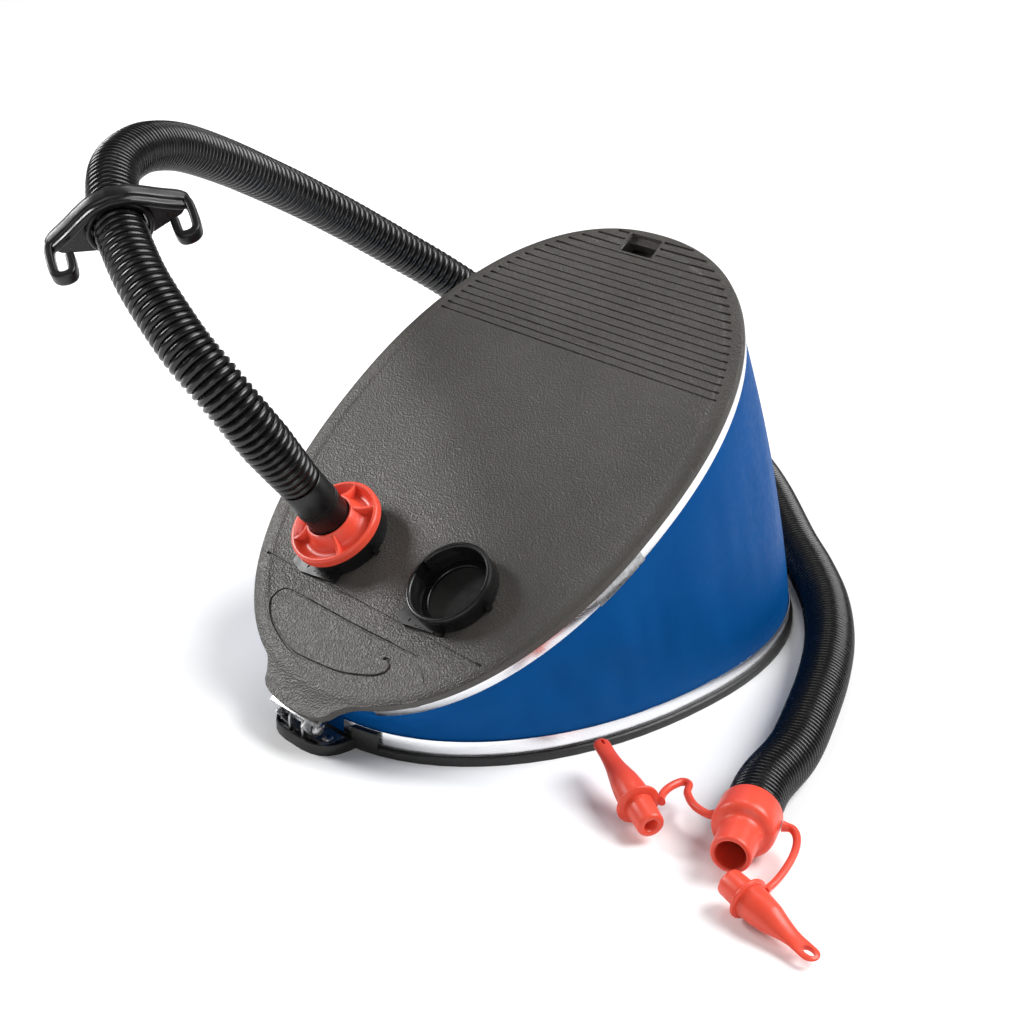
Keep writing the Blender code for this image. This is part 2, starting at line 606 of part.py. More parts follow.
def connector(port):
    """The hose connector: a plug with bayonet lugs, a ribbed flange, and a hub for the hose's cuff."""
    profile = [(0.0160, -0.0015), (0.0188, -0.0015), (0.0188, COLLAR_HEIGHT + GAP),
               (0.0246, COLLAR_HEIGHT + GAP), (0.0246, 0.0140), (0.0240, 0.0150), (0.0224, 0.0150),
               (0.0212, 0.0128), (0.0178, 0.0122), (0.0152, 0.0142), (0.0134, 0.0184), (0.0128, 0.0195),
               (0.0115, 0.0195), (0.0115, 0.0122), (0.0092, 0.0118), (0.0092, 0.0090), (0.0160, 0.0060)]
    body = turned("bayonet_connector", PLASTIC_RED, port, profile, hollow=True)
    for i in range(5):
        turn = Matrix.Rotation(math.radians(20 + 72 * i), 4, "Z")
        shape = [(0.0125, 0.0115), (0.0226, 0.0115), (0.0226, 0.0146), (0.0125, 0.0190)]
        loops = [[turn @ Vector((radius, side, z)) for radius, z in shape] for side in (-0.0008, 0.0008)]
        add(body, lofted(f"connector_rib_{i}", None, port, loops, along=False))
    for i in range(2):
        turn = Matrix.Rotation(LOCK_ANGLE + i * math.pi, 4, "Z")
        shape = [(0.0180, -0.0026), (0.0202, -0.0026), (0.0202, 0.0026), (0.0180, 0.0026)]
        loops = [[turn @ Vector((x, y, z)) for x, y in shape] for z in (0.0017, 0.0042)]
        add(body, lofted(f"connector_lug_{i}", None, port, loops, along=False))
    turned("connector_seal", RUBBER, port,
           [(0.0189, -0.0033), (0.0189, -0.0018), (0.0170, -0.0018), (0.0170, -0.0033)], hollow=True)
    turned("hose_cuff", PLASTIC_BLACK, port,
           [(0.0110, 0.0128), (0.0112, 0.0352), (0.0115, 0.0356), (0.0115, 0.0364), (0.0112, 0.0368),
            (0.0112, 0.0402), (0.0115, 0.0406), (0.0115, 0.0414), (0.0112, 0.0418), (0.0113, 0.0480),
            (0.0085, 0.0480), (0.0085, 0.0128)], hollow=True)


# Hose, clip, nozzle and adapters

def hose_points(port_matrix):
    start = port_matrix @ Vector((0, 0, HOSE_START))
    back, mouth = Vector(NOZZLE_BACK), Vector(NOZZLE_MOUTH)
    axis = (mouth - back).normalized()
    route = [start, *HOSE_ROUTE, back - axis * 0.024]
    return smooth_route(route, HOSE_SPACING) + [back - axis * GAP]


def hose_and_clip(port_matrix):
    points = hose_points(port_matrix)
    round_bar("hose", HOSE_PLASTIC, None, points, HOSE_RADIUS, 3)
    index = int(CLIP_PLACE / HOSE_SPACING)
    along = (points[index + 1] - points[index]).normalized()
    across = Vector(CLIP_ACROSS)
    across = (across - across.dot(along) * along).normalized()
    turn = Matrix((across, along.cross(across), along)).transposed()
    hose_clip(frame("clip_frame", points[index].lerp(points[index + 1], 0.5), turn))


def bar_along(name, parent, path, thickness, section, side):
    """A flat bar along a path. section gives its two edges at a point of the path, moved by a normal."""
    loops = []
    for i, (a, b) in enumerate(path):
        ahead, behind = path[min(i + 1, len(path) - 1)], path[max(i - 1, 0)]
        direction = Vector((ahead[0] - behind[0], ahead[1] - behind[1])).normalized()
        normal = Vector((-direction.y, direction.x)) * thickness / 2
        loop = section(a - normal.x, b - normal.y) + section(a + normal.x, b + normal.y)[::-1]
        loops.append([(side * x, y, z) for x, y, z in loop])
    return lofted(name, None, parent, loops, along=False)


def hose_clip(parent):
    """A ring round the hose, under a bow with hooked ends. z is along the hose and x across it."""
    ring = turned("hose_clip", PLASTIC_BLACK, parent,
                  [(0.0166, -0.0060), (0.0170, 0.0), (0.0166, 0.0060), (0.0138, 0.0060), (0.0136, 0.0),
                   (0.0138, -0.0060)], sides=32, hollow=True)
    for side in (-1, 1):
        arm = bar_along(f"clip_arm_{side}", parent, CLIP_ARCH, 0.0044,
                        lambda x, y: [(x, y, -0.0072), (x, y, 0.0042)], side)
        hook = bar_along(f"clip_hook_{side}", parent, CLIP_HOOK, 0.0042,
                         lambda x, z: [(x, -0.0040, z), (x, 0.0030, z)], side)
        web = prism(f"clip_web_{side}", None, parent, [(side * x, y) for x, y in CLIP_WEB], -0.0035, 0.0)
        add(ring, arm, hook, web)


def aimed_frame(name, start, end):
    """A frame at start whose z points at end."""
    start, end = Vector(start), Vector(end)
    return frame(name, start, (end - start).to_track_quat("Z", "Y").to_matrix())


def nozzle():
    length = (Vector(NOZZLE_MOUTH) - Vector(NOZZLE_BACK)).length
    profile = [(NOZZLE_RADIUS - 0.0006, 0.0), (NOZZLE_RADIUS, 0.0006), (NOZZLE_RADIUS, 0.0145),
               (0.0135, 0.0164), (0.0112, 0.0178), (0.0096, 0.0190), (0.0090, length - 0.0008),
               (0.0084, length), (NOZZLE_BORE, length), (NOZZLE_BORE, 0.0150),
               (0.0100, 0.0125), (0.0100, 0.0)]
    turned("nozzle", PLASTIC_RED, aimed_frame("nozzle_frame", NOZZLE_BACK, NOZZLE_MOUTH), profile, 36, True)


def adapter(name, place, plug_length, tip_radius, flat_tip):
    """A tapered adapter: a plug, a flange and a cone. A flat tip has an eye through it."""
    parent = aimed_frame(f"{name}_frame", place["flange"], place["tip"])
    length = (Vector(place["tip"]) - Vector(place["flange"])).length
    rim = place["radius"]
    profile = [(0.0028, -plug_length), (0.0055, -plug_length), (0.0063, -plug_length + 0.0010),
               (0.0066, -0.0007), (rim, -0.0007), (rim, 0.0007), (0.0076, 0.0007),
               (0.0073, length * 0.15), (tip_radius + 0.0014, length * 0.50), (tip_radius, length * 0.72),
               (tip_radius * 0.9, length - 0.0014), (tip_radius * 0.5, length), (0.0010, length),
               (0.0010, length * 0.6), (0.0028, length * 0.3)]
    body = turned(name, PLASTIC_RED, parent, profile, 28, True)
    if flat_tip:
        reach = length - 0.0075
        add(body, prism(f"{name}_tongue", None, parent, lobe(0.0040, 0.0015, 4.0, 0.0, 20),
                        length * 0.55, length + 0.0035))
        loops = [[(0.0020 * math.cos(a), y, reach + 0.0068 + 0.0026 * math.sin(a))
                  for a in (math.pi * i / 8 for i in range(16))] for y in (-0.01, 0.01)]
        cut(body, lofted(f"{name}_eye", None, parent, loops, along=False))


def straps():
    for name, route in (("strap_left", STRAP_LEFT), ("strap_right", STRAP_RIGHT)):
        round_bar(name, PLASTIC_RED, None, smooth_route(route, 0.004), STRAP_RADIUS, 2)


def main():
    clear_scene()
    hinge = frame("hinge_axis", (0, HINGE_Y, HINGE_Z))
    pedal = frame("pedal_frame", (0, HINGE_Y, HINGE_Z), Matrix.Rotation(OPEN_ANGLE, 3, "X"))
    inflate = frame("inflate_port", (-PORT_X, PORT_Y, PLATE_TOP), parent=pedal)
    deflate = frame("deflate_port", (PORT_X, PORT_Y, PLATE_TOP), parent=pedal)
    bpy.context.view_layer.update()
    base_plate()
    base_edge_pieces()
    base_hinge(hinge)
    bellows()
    spring_seat("spring_seat_base", None, HINGE_Y + SPRING_ARC_RADIUS, BASE_EDGE + GAP, 1)
    return_spring(hinge)
    top_plate(pedal)
    pedal_edge_pieces(pedal)
    pedal_hinge(pedal)
    spring_seat("spring_seat_top", pedal, SPRING_ARC_RADIUS, PLATE_UNDER - GAP, -1)
    collar("inflate_collar", inflate, INFLATE_TAB)
    collar("deflate_collar", deflate, DEFLATE_TAB)
    valves(inflate, deflate)
    connector(inflate)
    hose_and_clip(inflate.matrix_world.copy())
    nozzle()
    adapter("adapter_left", ADAPTER_LEFT, 0.0155, 0.0042, False)
    adapter("adapter_right", ADAPTER_RIGHT, 0.0125, 0.0030, True)
    straps()


main()
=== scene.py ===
"""The looks of a bellows foot pump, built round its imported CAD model. Metres, +Z up."""

import json
import math

import bmesh
import bpy
import numpy as np
from mathutils import Matrix, Vector, noise
from mathutils.geometry import interpolate_bezier

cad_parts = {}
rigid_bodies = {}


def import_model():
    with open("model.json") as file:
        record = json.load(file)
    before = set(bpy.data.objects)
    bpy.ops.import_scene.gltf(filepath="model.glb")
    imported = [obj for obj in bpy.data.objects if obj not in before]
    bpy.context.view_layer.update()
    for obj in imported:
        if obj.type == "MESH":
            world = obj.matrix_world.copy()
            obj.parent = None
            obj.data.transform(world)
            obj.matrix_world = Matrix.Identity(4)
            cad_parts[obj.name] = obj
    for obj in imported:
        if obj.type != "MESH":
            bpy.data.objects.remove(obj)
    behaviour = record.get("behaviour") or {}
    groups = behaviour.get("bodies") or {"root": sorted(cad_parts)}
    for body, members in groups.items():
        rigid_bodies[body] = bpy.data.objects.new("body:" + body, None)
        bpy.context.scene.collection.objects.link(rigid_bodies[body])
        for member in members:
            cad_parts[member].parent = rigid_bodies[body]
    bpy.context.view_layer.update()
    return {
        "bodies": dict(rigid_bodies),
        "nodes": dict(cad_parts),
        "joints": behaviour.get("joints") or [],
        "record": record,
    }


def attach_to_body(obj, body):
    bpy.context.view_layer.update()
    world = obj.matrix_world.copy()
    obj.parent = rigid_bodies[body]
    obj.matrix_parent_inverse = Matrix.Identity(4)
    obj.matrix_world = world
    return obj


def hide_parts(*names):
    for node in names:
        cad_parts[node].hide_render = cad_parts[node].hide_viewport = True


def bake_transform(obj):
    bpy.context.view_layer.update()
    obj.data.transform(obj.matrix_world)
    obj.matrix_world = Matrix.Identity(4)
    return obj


# The pump's own sizes, as in its CAD source
HALF_LENGTH = 0.150
HALF_WIDTH = 0.113
OUTLINE_POWER = 2.2
TOE_WIDENING = 0.035
OUTLINE_STEPS = 240
GAP = 0.0003
HINGE = Vector((0.0, -0.1604, 0.011))
OPEN_ANGLE = math.radians(36)
PLATE_CENTRE = 0.1604
BAND_INSETS = (0.0020, 0.0028)
HEM_INSETS = (0.0031, 0.0045)
BASE_EDGE = 0.0038
BASE_WALL_TOP = 0.0125
PLATE_TOP = 0.0135
PLATE_UNDER = 0.0090
FIELD_TOP = 0.0130
GROOVE_TOP = FIELD_TOP + 0.0002
PEDAL_WALL_BOTTOM = 0.0015
TREAD_START, TREAD_END, TREAD_GROOVES = 0.2288, 0.3060, 19
SLOT_LOW, SLOT_HIGH = (-0.01675, 0.2947), (0.00475, 0.3065)
POCKET_END = 0.3038
PORT_X, PORT_Y = 0.041, 0.0873
SPRING_ARC_RADIUS, SPRING_COIL_RADIUS, SPRING_WIRE_RADIUS, SPRING_TURNS = 0.165, 0.0215, 0.00125, 6

HOSE_RADIUS = 0.013
HOSE_START = 0.0483
FLOOR_HOSE_Z = 0.0134
HOSE_ROUTE = (
    (-0.041, -0.1379, 0.1285), (-0.046, -0.1515, 0.1500), (-0.056, -0.1600, 0.1670),
    (-0.070, -0.1650, 0.1810), (-0.088, -0.1660, 0.1950), (-0.106, -0.1650, 0.2080),
    (-0.126, -0.1600, 0.2210), (-0.142, -0.1540, 0.2300), (-0.158, -0.1450, 0.2380),
    (-0.171, -0.1340, 0.2435), (-0.181, -0.1190, 0.2465), (-0.190, -0.1010, 0.2460),
    (-0.203, -0.0740, 0.2390), (-0.220, -0.0370, 0.2230), (-0.235, -0.0010, 0.2050),
    (-0.243, 0.0340, 0.1860), (-0.245, 0.0720, 0.1630), (-0.241, 0.1080, 0.1390),
    (-0.234, 0.1350, 0.1200), (-0.225, 0.1630, 0.0980), (-0.213, 0.1900, 0.0740),
    (-0.197, 0.2170, 0.0490), (-0.177, 0.2400, 0.0280), (-0.150, 0.2560, 0.0165),
    (-0.118, 0.2620, FLOOR_HOSE_Z), (-0.084, 0.2540, FLOOR_HOSE_Z), (-0.050, 0.2360, FLOOR_HOSE_Z),
    (-0.011, 0.2085, FLOOR_HOSE_Z), (0.040, 0.1665, FLOOR_HOSE_Z), (0.070, 0.1435, FLOOR_HOSE_Z),
    (0.099, 0.1180, FLOOR_HOSE_Z), (0.1255, 0.0870, FLOOR_HOSE_Z), (0.1475, 0.0530, FLOOR_HOSE_Z),
    (0.1669, 0.0163, FLOOR_HOSE_Z), (0.1809, -0.0143, FLOOR_HOSE_Z),
)
HOSE_PITCHES = ((0.0, 0.0040), (0.16, 0.0038), (0.20, 0.0030), (0.25, 0.0026), (0.29, 0.0036),
                (0.33, 0.0048), (0.75, 0.0045), (0.95, 0.0028), (2.0, 0.0027))
HOSE_BEND = (0.22, 0.76)  # a stretch of the hose, as distances along it; hose() works out weights over it but does not use them
CLIP_ACROSS = Vector((0.5293, 0.8117, 0.2470))
CLIP_ARCH = (
    (0.0, -0.0174), (0.0085, -0.0158), (0.0160, -0.0118), (0.0230, -0.0072), (0.0300, -0.0032),
    (0.0362, -0.0008),
)
CLIP_HOOK = (
    (0.0270, -0.0010), (0.0325, -0.0018), (0.0352, -0.0060), (0.0354, -0.0205), (0.0336, -0.0248),
    (0.0294, -0.0258), (0.0266, -0.0234), (0.0260, -0.0120),
)
CLIP_WEB = ((0.0130, -0.0100), (0.0300, -0.0045), (0.0340, 0.0005), (0.0300, 0.0050), (0.0140, 0.0105))
NOZZLE_BACK = Vector((0.2004, -0.0677, 0.0146))
NOZZLE_MOUTH = Vector((0.2151, -0.0995, 0.0146))
STRAP_RADIUS = 0.0019
STRAP_LEFT = (
    (0.1890, -0.0796, 0.0130), (0.1858, -0.0809, 0.0128), (0.1778, -0.0797, 0.0126),
    (0.1694, -0.0745, 0.0124), (0.1652, -0.0686, 0.0122), (0.1613, -0.0690, 0.0121),
    (0.1603, -0.0756, 0.0120), (0.1617, -0.0822, 0.0120), (0.1642, -0.0864, 0.0119),
)
STRAP_RIGHT = (
    (0.2162, -0.0648, 0.0136), (0.2200, -0.0634, 0.0134), (0.2251, -0.0668, 0.0128),
    (0.2300, -0.0746, 0.0120), (0.2338, -0.0850, 0.0110), (0.2361, -0.0950, 0.0103),
    (0.2367, -0.1016, 0.0100),
)
ADAPTERS = (
    ("left", Vector((0.1597, -0.0966, 0.0120)), Vector((0.1173, -0.0778, 0.0180)), 0.0102, 0.0155),
    ("right", Vector((0.2354, -0.1119, 0.0100)), Vector((0.2720, -0.1166, 0.0052)), 0.0096, 0.0125),
)

# The pedal's moulded lines, as (x, y) on the pedal
LUG = (
    (-0.064, 0.036), (-0.0525, 0.0262), (-0.043, 0.0200), (-0.034, 0.0158), (-0.0275, 0.0095),
    (-0.0235, 0.0040), (-0.0165, 0.0008), (-0.0060, -0.0005), (0.0070, -0.0005), (0.0165, 0.0010),
    (0.0225, 0.0045), (0.0262, 0.0098), (0.0325, 0.0150), (0.041, 0.0190), (0.051, 0.0250),
    (0.063, 0.0352), (0.040, 0.050), (-0.040, 0.050),
)
HEEL_LINE_Y = 0.0612
HEEL_CURVE = (
    (0.0454, 0.0509), (0.0200, 0.0501), (-0.0026, 0.0496), (-0.0300, 0.0496), (-0.0508, 0.0496),
    (-0.0562, 0.0469), (-0.0566, 0.0405), (-0.0487, 0.0331), (-0.0358, 0.0272), (-0.0220, 0.0234),
    (-0.0069, 0.0238), (0.0104, 0.0257), (0.0223, 0.0290), (0.0311, 0.0327), (0.0359, 0.0370),
    (0.0357, 0.0408), (0.0330, 0.0428), (0.0294, 0.0424),
)
INFLATE_TAB = (
    (-0.0190, -0.0115), (-0.0200, -0.0237), (-0.0110, -0.0272), (0.0138, -0.0240), (0.0125, -0.0165),
)
DEFLATE_TAB = (
    (-0.0190, -0.0115), (-0.0212, -0.0232), (-0.0158, -0.0264), (0.0104, -0.0226), (0.0092, -0.0165),
)
RIB_ANGLES = (47, 102, 165, 229, 321)  # of the connector's ribs, in degrees

PEDAL = Matrix.Translation(HINGE) @ Matrix.Rotation(OPEN_ANGLE, 4, "X")
INFLATE = PEDAL @ Matrix.Translation((-PORT_X, PORT_Y, PLATE_TOP))
DEFLATE = PEDAL @ Matrix.Translation((PORT_X, PORT_Y, PLATE_TOP))


# Materials

class Surface:
    """A material's nodes: one Principled shader, and textures in the object's own coordinates."""

    def __init__(self, name, roughness, metallic=0.0, **sockets):
        self.material = bpy.data.materials.new(name)
        self.material.use_nodes = True
        self.tree = self.material.node_tree
        self.shader = self.tree.nodes["Principled BSDF"]
        self.shader.inputs["Roughness"].default_value = roughness
        self.shader.inputs["Metallic"].default_value = metallic
        for socket, value in sockets.items():
            self.shader.inputs[socket.replace("_", " ")].default_value = value
        self.place = self.add("ShaderNodeTexCoord").outputs["Object"]
        self.normal = None

    def add(self, kind, **settings):
        node = self.tree.nodes.new(kind)
        for key, value in settings.items():
            if hasattr(node, key):
                setattr(node, key, value)
            else:
                node.inputs[key.replace("_", " ")].default_value = value
        return node

    def link(self, output, socket):
        self.tree.links.new(output, socket)

    def stretched(self, scale, rotation=(0, 0, 0)):
        node = self.add("ShaderNodeMapping")
        node.inputs["Scale"].default_value = scale
        node.inputs["Rotation"].default_value = rotation
        self.link(self.place, node.inputs["Vector"])
        return node.outputs[0]

    def noise(self, scale, detail=3.0, roughness=0.55, place=None):
        node = self.add("ShaderNodeTexNoise", Scale=scale, Detail=detail, Roughness=roughness)
        self.link(place or self.place, node.inputs["Vector"])
        return node.outputs["Fac"]

    def cells(self, scale, smooth=0.6, place=None):
        node = self.add("ShaderNodeTexVoronoi", feature="SMOOTH_F1", Scale=scale, Smoothness=smooth)
        self.link(place or self.place, node.inputs["Vector"])
        return node.outputs["Distance"]

    def ramp(self, value, stops):
        """Values or colours by position, linear between the stops."""
        node = self.add("ShaderNodeValToRGB")
        elements = node.color_ramp.elements
        while len(elements) < len(stops):
            elements.new(0.5)
        for element, (position, colour) in zip(elements, stops):
            element.position = position
            element.color = (*colour, 1.0) if isinstance(colour, tuple) else (colour, colour, colour, 1.0)
        self.link(value, node.inputs["Fac"])
        return node.outputs["Color"]

    def colour(self, value, stops):
        self.link(self.ramp(value, stops), self.shader.inputs["Base Color"])

    def rough(self, value, low, high):
        self.link(self.ramp(value, ((0.3, low), (0.7, high))), self.shader.inputs["Roughness"])

    def bump(self, value, distance, strength=1.0):
        """A bump on top of those added before it. distance is its height in metres."""
        node = self.add("ShaderNodeBump", Strength=strength, Distance=distance)
        self.link(value, node.inputs["Height"])
        if self.normal is not None:
            self.link(self.normal, node.inputs["Normal"])
        self.normal = node.outputs["Normal"]
        self.link(self.normal, self.shader.inputs["Normal"])


def plate_plastic():
    """Warm charcoal plastic with a pebbled leather grain."""
    made = Surface("plate_plastic", 0.5, Specular_IOR_Level=0.45)
    broad = made.noise(16, 4, 0.6)
    made.colour(broad, ((0.30, (0.040, 0.036, 0.0315)), (0.70, (0.058, 0.053, 0.047))))
    made.rough(made.noise(300, 3), 0.38, 0.50)
    made.bump(made.noise(30, 2), 0.0006, 0.12)
    made.bump(made.cells(980, 0.35), 0.00030, 0.9)
    made.bump(made.noise(1700, 2), 0.00010, 0.6)
    return made.material


def black_plastic():
    made = Surface("black_plastic", 0.32, Specular_IOR_Level=0.40)
    made.colour(made.noise(40, 3), ((0.3, (0.0030, 0.0030, 0.0032)), (0.7, (0.0055, 0.0055, 0.0055))))
    made.rough(made.noise(180, 4), 0.25, 0.40)
    made.bump(made.noise(1500, 2), 0.00002, 0.5)
    return made.material


def base_plastic():
    """Black plastic with a fine moulded texture, duller than the fittings."""
    made = Surface("base_plastic", 0.5)
    made.colour(made.noise(30, 3), ((0.3, (0.0045, 0.0045, 0.0045)), (0.7, (0.0085, 0.0085, 0.0080))))
    made.rough(made.noise(200, 4), 0.40, 0.55)
    made.bump(made.cells(1400, 0.8), 0.00006, 0.6)
    return made.material


def hose_plastic():
    made = Surface("hose_plastic", 0.25, Specular_IOR_Level=0.42)
    made.colour(made.noise(50, 3), ((0.3, (0.0022, 0.0022, 0.0023)), (0.7, (0.0040, 0.0040, 0.0042))))
    made.rough(made.noise(240, 4), 0.20, 0.32)
    made.bump(made.noise(900, 2), 0.00003, 0.5)
    return made.material


def red_plastic():
    made = Surface("red_plastic", 0.34, Subsurface_Weight=0.08, Subsurface_Scale=0.004,
                   Specular_IOR_Level=0.40)
    made.shader.inputs["Subsurface Radius"].default_value = (1.0, 0.25, 0.12)
    made.colour(made.noise(60, 3), ((0.3, (0.68, 0.062, 0.032)), (0.7, (0.74, 0.078, 0.042))))
    made.rough(made.noise(260, 4), 0.28, 0.42)
    made.bump(made.noise(500, 3), 0.00006, 0.5)
    return made.material


def bellows_sheet():
    """Blue vinyl on a woven backing that shows through a little."""
    made = Surface("bellows_sheet", 0.5, Specular_IOR_Level=0.04)
    made.colour(made.noise(14, 4, 0.6), ((0.30, (0.0010, 0.058, 0.215)), (0.70, (0.0016, 0.072, 0.255))))
    made.rough(made.noise(260, 4), 0.44, 0.58)
    made.bump(made.noise(9, 3, 0.5, made.stretched((1, 1, 0.35))), 0.004, 0.30)
    made.bump(made.noise(45, 3), 0.0006, 0.30)
    weave = made.add("ShaderNodeTexWave", wave_type="BANDS", bands_direction="Z", Scale=190.0, Distortion=0.6)
    made.link(made.place, weave.inputs["Vector"])
    made.bump(weave.outputs["Fac"], 0.00005, 0.35)
    made.bump(made.noise(1300, 2), 0.00004, 0.5)
    return made.material


def aluminium():
    """Rolled strip: bright, with fine lengthwise streaks."""
    made = Surface("aluminium", 0.22, 1.0)
    made.colour(made.noise(25, 4), ((0.3, (0.80, 0.80, 0.81)), (0.7, (0.92, 0.92, 0.93))))
    streaks = made.noise(60, 4, 0.6, made.stretched((1, 1, 60)))
    made.rough(streaks, 0.16, 0.32)
    made.bump(streaks, 0.00002, 0.4)
    return made.material


def zinc_steel():
    made = Surface("zinc_steel", 0.3, 1.0)
    made.colour(made.cells(420, 0.4), ((0.2, (0.34, 0.345, 0.35)), (0.8, (0.52, 0.52, 0.53))))
    made.rough(made.noise(300, 4), 0.22, 0.42)
    made.bump(made.noise(600, 3), 0.00003, 0.5)
    return made.material


def rubber():
    made = Surface("rubber", 0.6)
    made.colour(made.noise(80, 3), ((0.3, (0.012, 0.012, 0.011)), (0.7, (0.019, 0.019, 0.018))))
    made.rough(made.noise(300, 3), 0.5, 0.7)
    made.bump(made.noise(1200, 3), 0.00004, 0.5)
    return made.material


MATERIALS = {make.__name__: make() for make in (
    plate_plastic, black_plastic, base_plastic, hose_plastic, red_plastic, bellows_sheet, aluminium,
    zinc_steel, rubber)}


# Meshes

def mesh_piece(name, material, vertices, faces, place=Matrix.Identity(4), smooth=35):
    mesh = bpy.data.meshes.new(name)
    mesh.from_pydata([tuple(v) for v in vertices], [], faces)
    work = bmesh.new()
    work.from_mesh(mesh)
    bmesh.ops.recalc_face_normals(work, faces=work.faces)
    work.to_mesh(mesh)
    work.free()
    mesh.transform(place)
    finish_mesh(mesh, material, smooth)
    obj = bpy.data.objects.new(name, mesh)
    bpy.context.scene.collection.objects.link(obj)
    return obj


def finish_mesh(mesh, material, smooth=35):
    mesh.shade_smooth()
    mesh.set_sharp_from_angle(angle=math.radians(smooth))
    mesh.materials.clear()
    if material:
        mesh.materials.append(MATERIALS[material])


def lofted(name, material, loops, around=True, along=True, place=Matrix.Identity(4), smooth=35):
    """A skin over loops of points. Where around or along is open, its ends are closed."""
    rows, columns = len(loops), len(loops[0])
    vertices = [point for loop in loops for point in loop]
    faces = []
    for row in range(rows if along else rows - 1):
        upper = (row + 1) % rows
        for column in range(columns if around else columns - 1):
            side = (column + 1) % columns
            faces.append((row * columns + column, row * columns + side,
                          upper * columns + side, upper * columns + column))
    if not along:
        faces += [tuple(range(columns)), tuple((rows - 1) * columns + c for c in range(columns))]
    if not around:
        faces += [tuple(r * columns for r in range(rows)),
                  tuple(r * columns + columns - 1 for r in range(rows))]
    return mesh_piece(name, material, vertices, faces, place, smooth)


def prism(name, points, low, high, place=Matrix.Identity(4)):
    return lofted(name, None, [[(x, y, z) for x, y in points] for z in (low, high)], along=False, place=place)


def turned(name, material, profile, place, hollow=True, sides=96, smooth=35):
    loops = []
    for radius, z in profile:
        steps = [2 * math.pi * i / sides for i in range(sides)]
        loops.append([(radius * math.cos(a), radius * math.sin(a), z) for a in steps])
    return lofted(name, material, loops, along=hollow, place=place, smooth=smooth)


def rounded(profile, reach, steps=3):
    """A closed profile with its corners rounded, each over no more than reach."""
    points = [Vector(p) for p in profile]
    made = []
    for i, point in enumerate(points):
        before, after = points[i - 1] - point, points[(i + 1) % len(points)] - point
        cut = min(reach, before.length * 0.45, after.length * 0.45)
        start, end = point + before.normalized() * cut, point + after.normalized() * cut
        for step in range(steps + 1):
            share = step / steps
            made.append(tuple((start.lerp(point, share)).lerp(point.lerp(end, share), share)))
    return made


def joined(target, *others):
    """One piece that holds the meshes of all of these."""
    work = bmesh.new()
    for obj in (target, *others):
        work.from_mesh(obj.data)
    work.to_mesh(target.data)
    work.free()
    for obj in others:
        bpy.data.objects.remove(obj)
    return target


def boolean(target, other, operation="DIFFERENCE"):
    change = target.modifiers.new(other.name, "BOOLEAN")
    change.object = other
    change.operation = operation
    change.solver = "EXACT"


def settled(obj, *helpers):
    """Applies the piece's modifiers and removes the helpers that they used."""
    graph = bpy.context.evaluated_depsgraph_get()
    mesh = bpy.data.meshes.new_from_object(obj.evaluated_get(graph))
    obj.modifiers.clear()
    obj.data = mesh
    for helper in helpers:
        bpy.data.objects.remove(helper)
    return obj


def attach(obj, body, slot, *nodes):
    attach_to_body(obj, body)
    if nodes:
        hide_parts(*nodes)
    return obj


def bend_with(obj):
    """Bakes the piece's placement into its mesh, without bending it."""
    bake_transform(obj)


# Outlines

def signed_power(value, power):
    return math.copysign(abs(value) ** power, value)


def raw_outline(angle):
    power = 2 / OUTLINE_POWER
    along = signed_power(math.cos(angle), power)
    across = signed_power(math.sin(angle), power)
    return Vector((HALF_WIDTH * across * (1 + TOE_WIDENING * along), HALF_LENGTH * along))


def outline_point(angle, inset, centre):
    step = 1e-3
    tangent = (raw_outline(angle + step) - raw_outline(angle - step)).normalized()
    point = raw_outline(angle) + inset * Vector((tangent.y, -tangent.x))
    return point.x, point.y + centre


def outline(inset, centre, steps=OUTLINE_STEPS):
    return [outline_point(2 * math.pi * (i + 0.5) / steps, inset, centre) for i in range(steps)]


def half_width_at(y, inset):
    along = min(1.0, abs(y - PLATE_CENTRE) / HALF_LENGTH)
    across = (1 - along ** OUTLINE_POWER) ** (1 / OUTLINE_POWER)
    return max(0.0, HALF_WIDTH * across * (1 + TOE_WIDENING * (y - PLATE_CENTRE) / HALF_LENGTH) - inset)


def outline_strip(name, material, insets, low, high, span, steps, centre, place, soften=0.00025):
    """A strip that follows the outline over a span of angles, with softened edges."""
    corners = rounded(((insets[0], low), (insets[0], high), (insets[1], high), (insets[1], low)), soften, 2)
    angles = [span[0] + (span[1] - span[0]) * i / steps for i in range(steps + 1)]
    loops = [[(*outline_point(angle, inset, centre), z) for inset, z in corners] for angle in angles]
    return lofted(name, material, loops, along=False, place=place, smooth=50)


# Curves

def smooth_route(points, spacing):
    """Evenly spaced points on a smooth curve through the given ones."""
    points = [Vector(p) for p in points]
    before = [points[0] * 2 - points[1]] + points[:-1]
    after = points[1:] + [points[-1] * 2 - points[-2]]
    tangents = [(a - b) / 6 for a, b in zip(after, before)]
    dense = []
    for i in range(len(points) - 1):
        ends = (points[i], points[i] + tangents[i], points[i + 1] - tangents[i + 1], points[i + 1])
        dense += interpolate_bezier(*ends, 24)[:-1]
    dense.append(points[-1])
    dense = np.array([tuple(p) for p in dense])
    travelled = np.concatenate([[0], np.cumsum(np.linalg.norm(np.diff(dense, axis=0), axis=1))])
    count = max(2, round(travelled[-1] / spacing))
    wanted = np.linspace(0, travelled[-1], count + 1)
    return np.stack([np.interp(wanted, travelled, dense[:, axis]) for axis in range(3)], axis=1), wanted


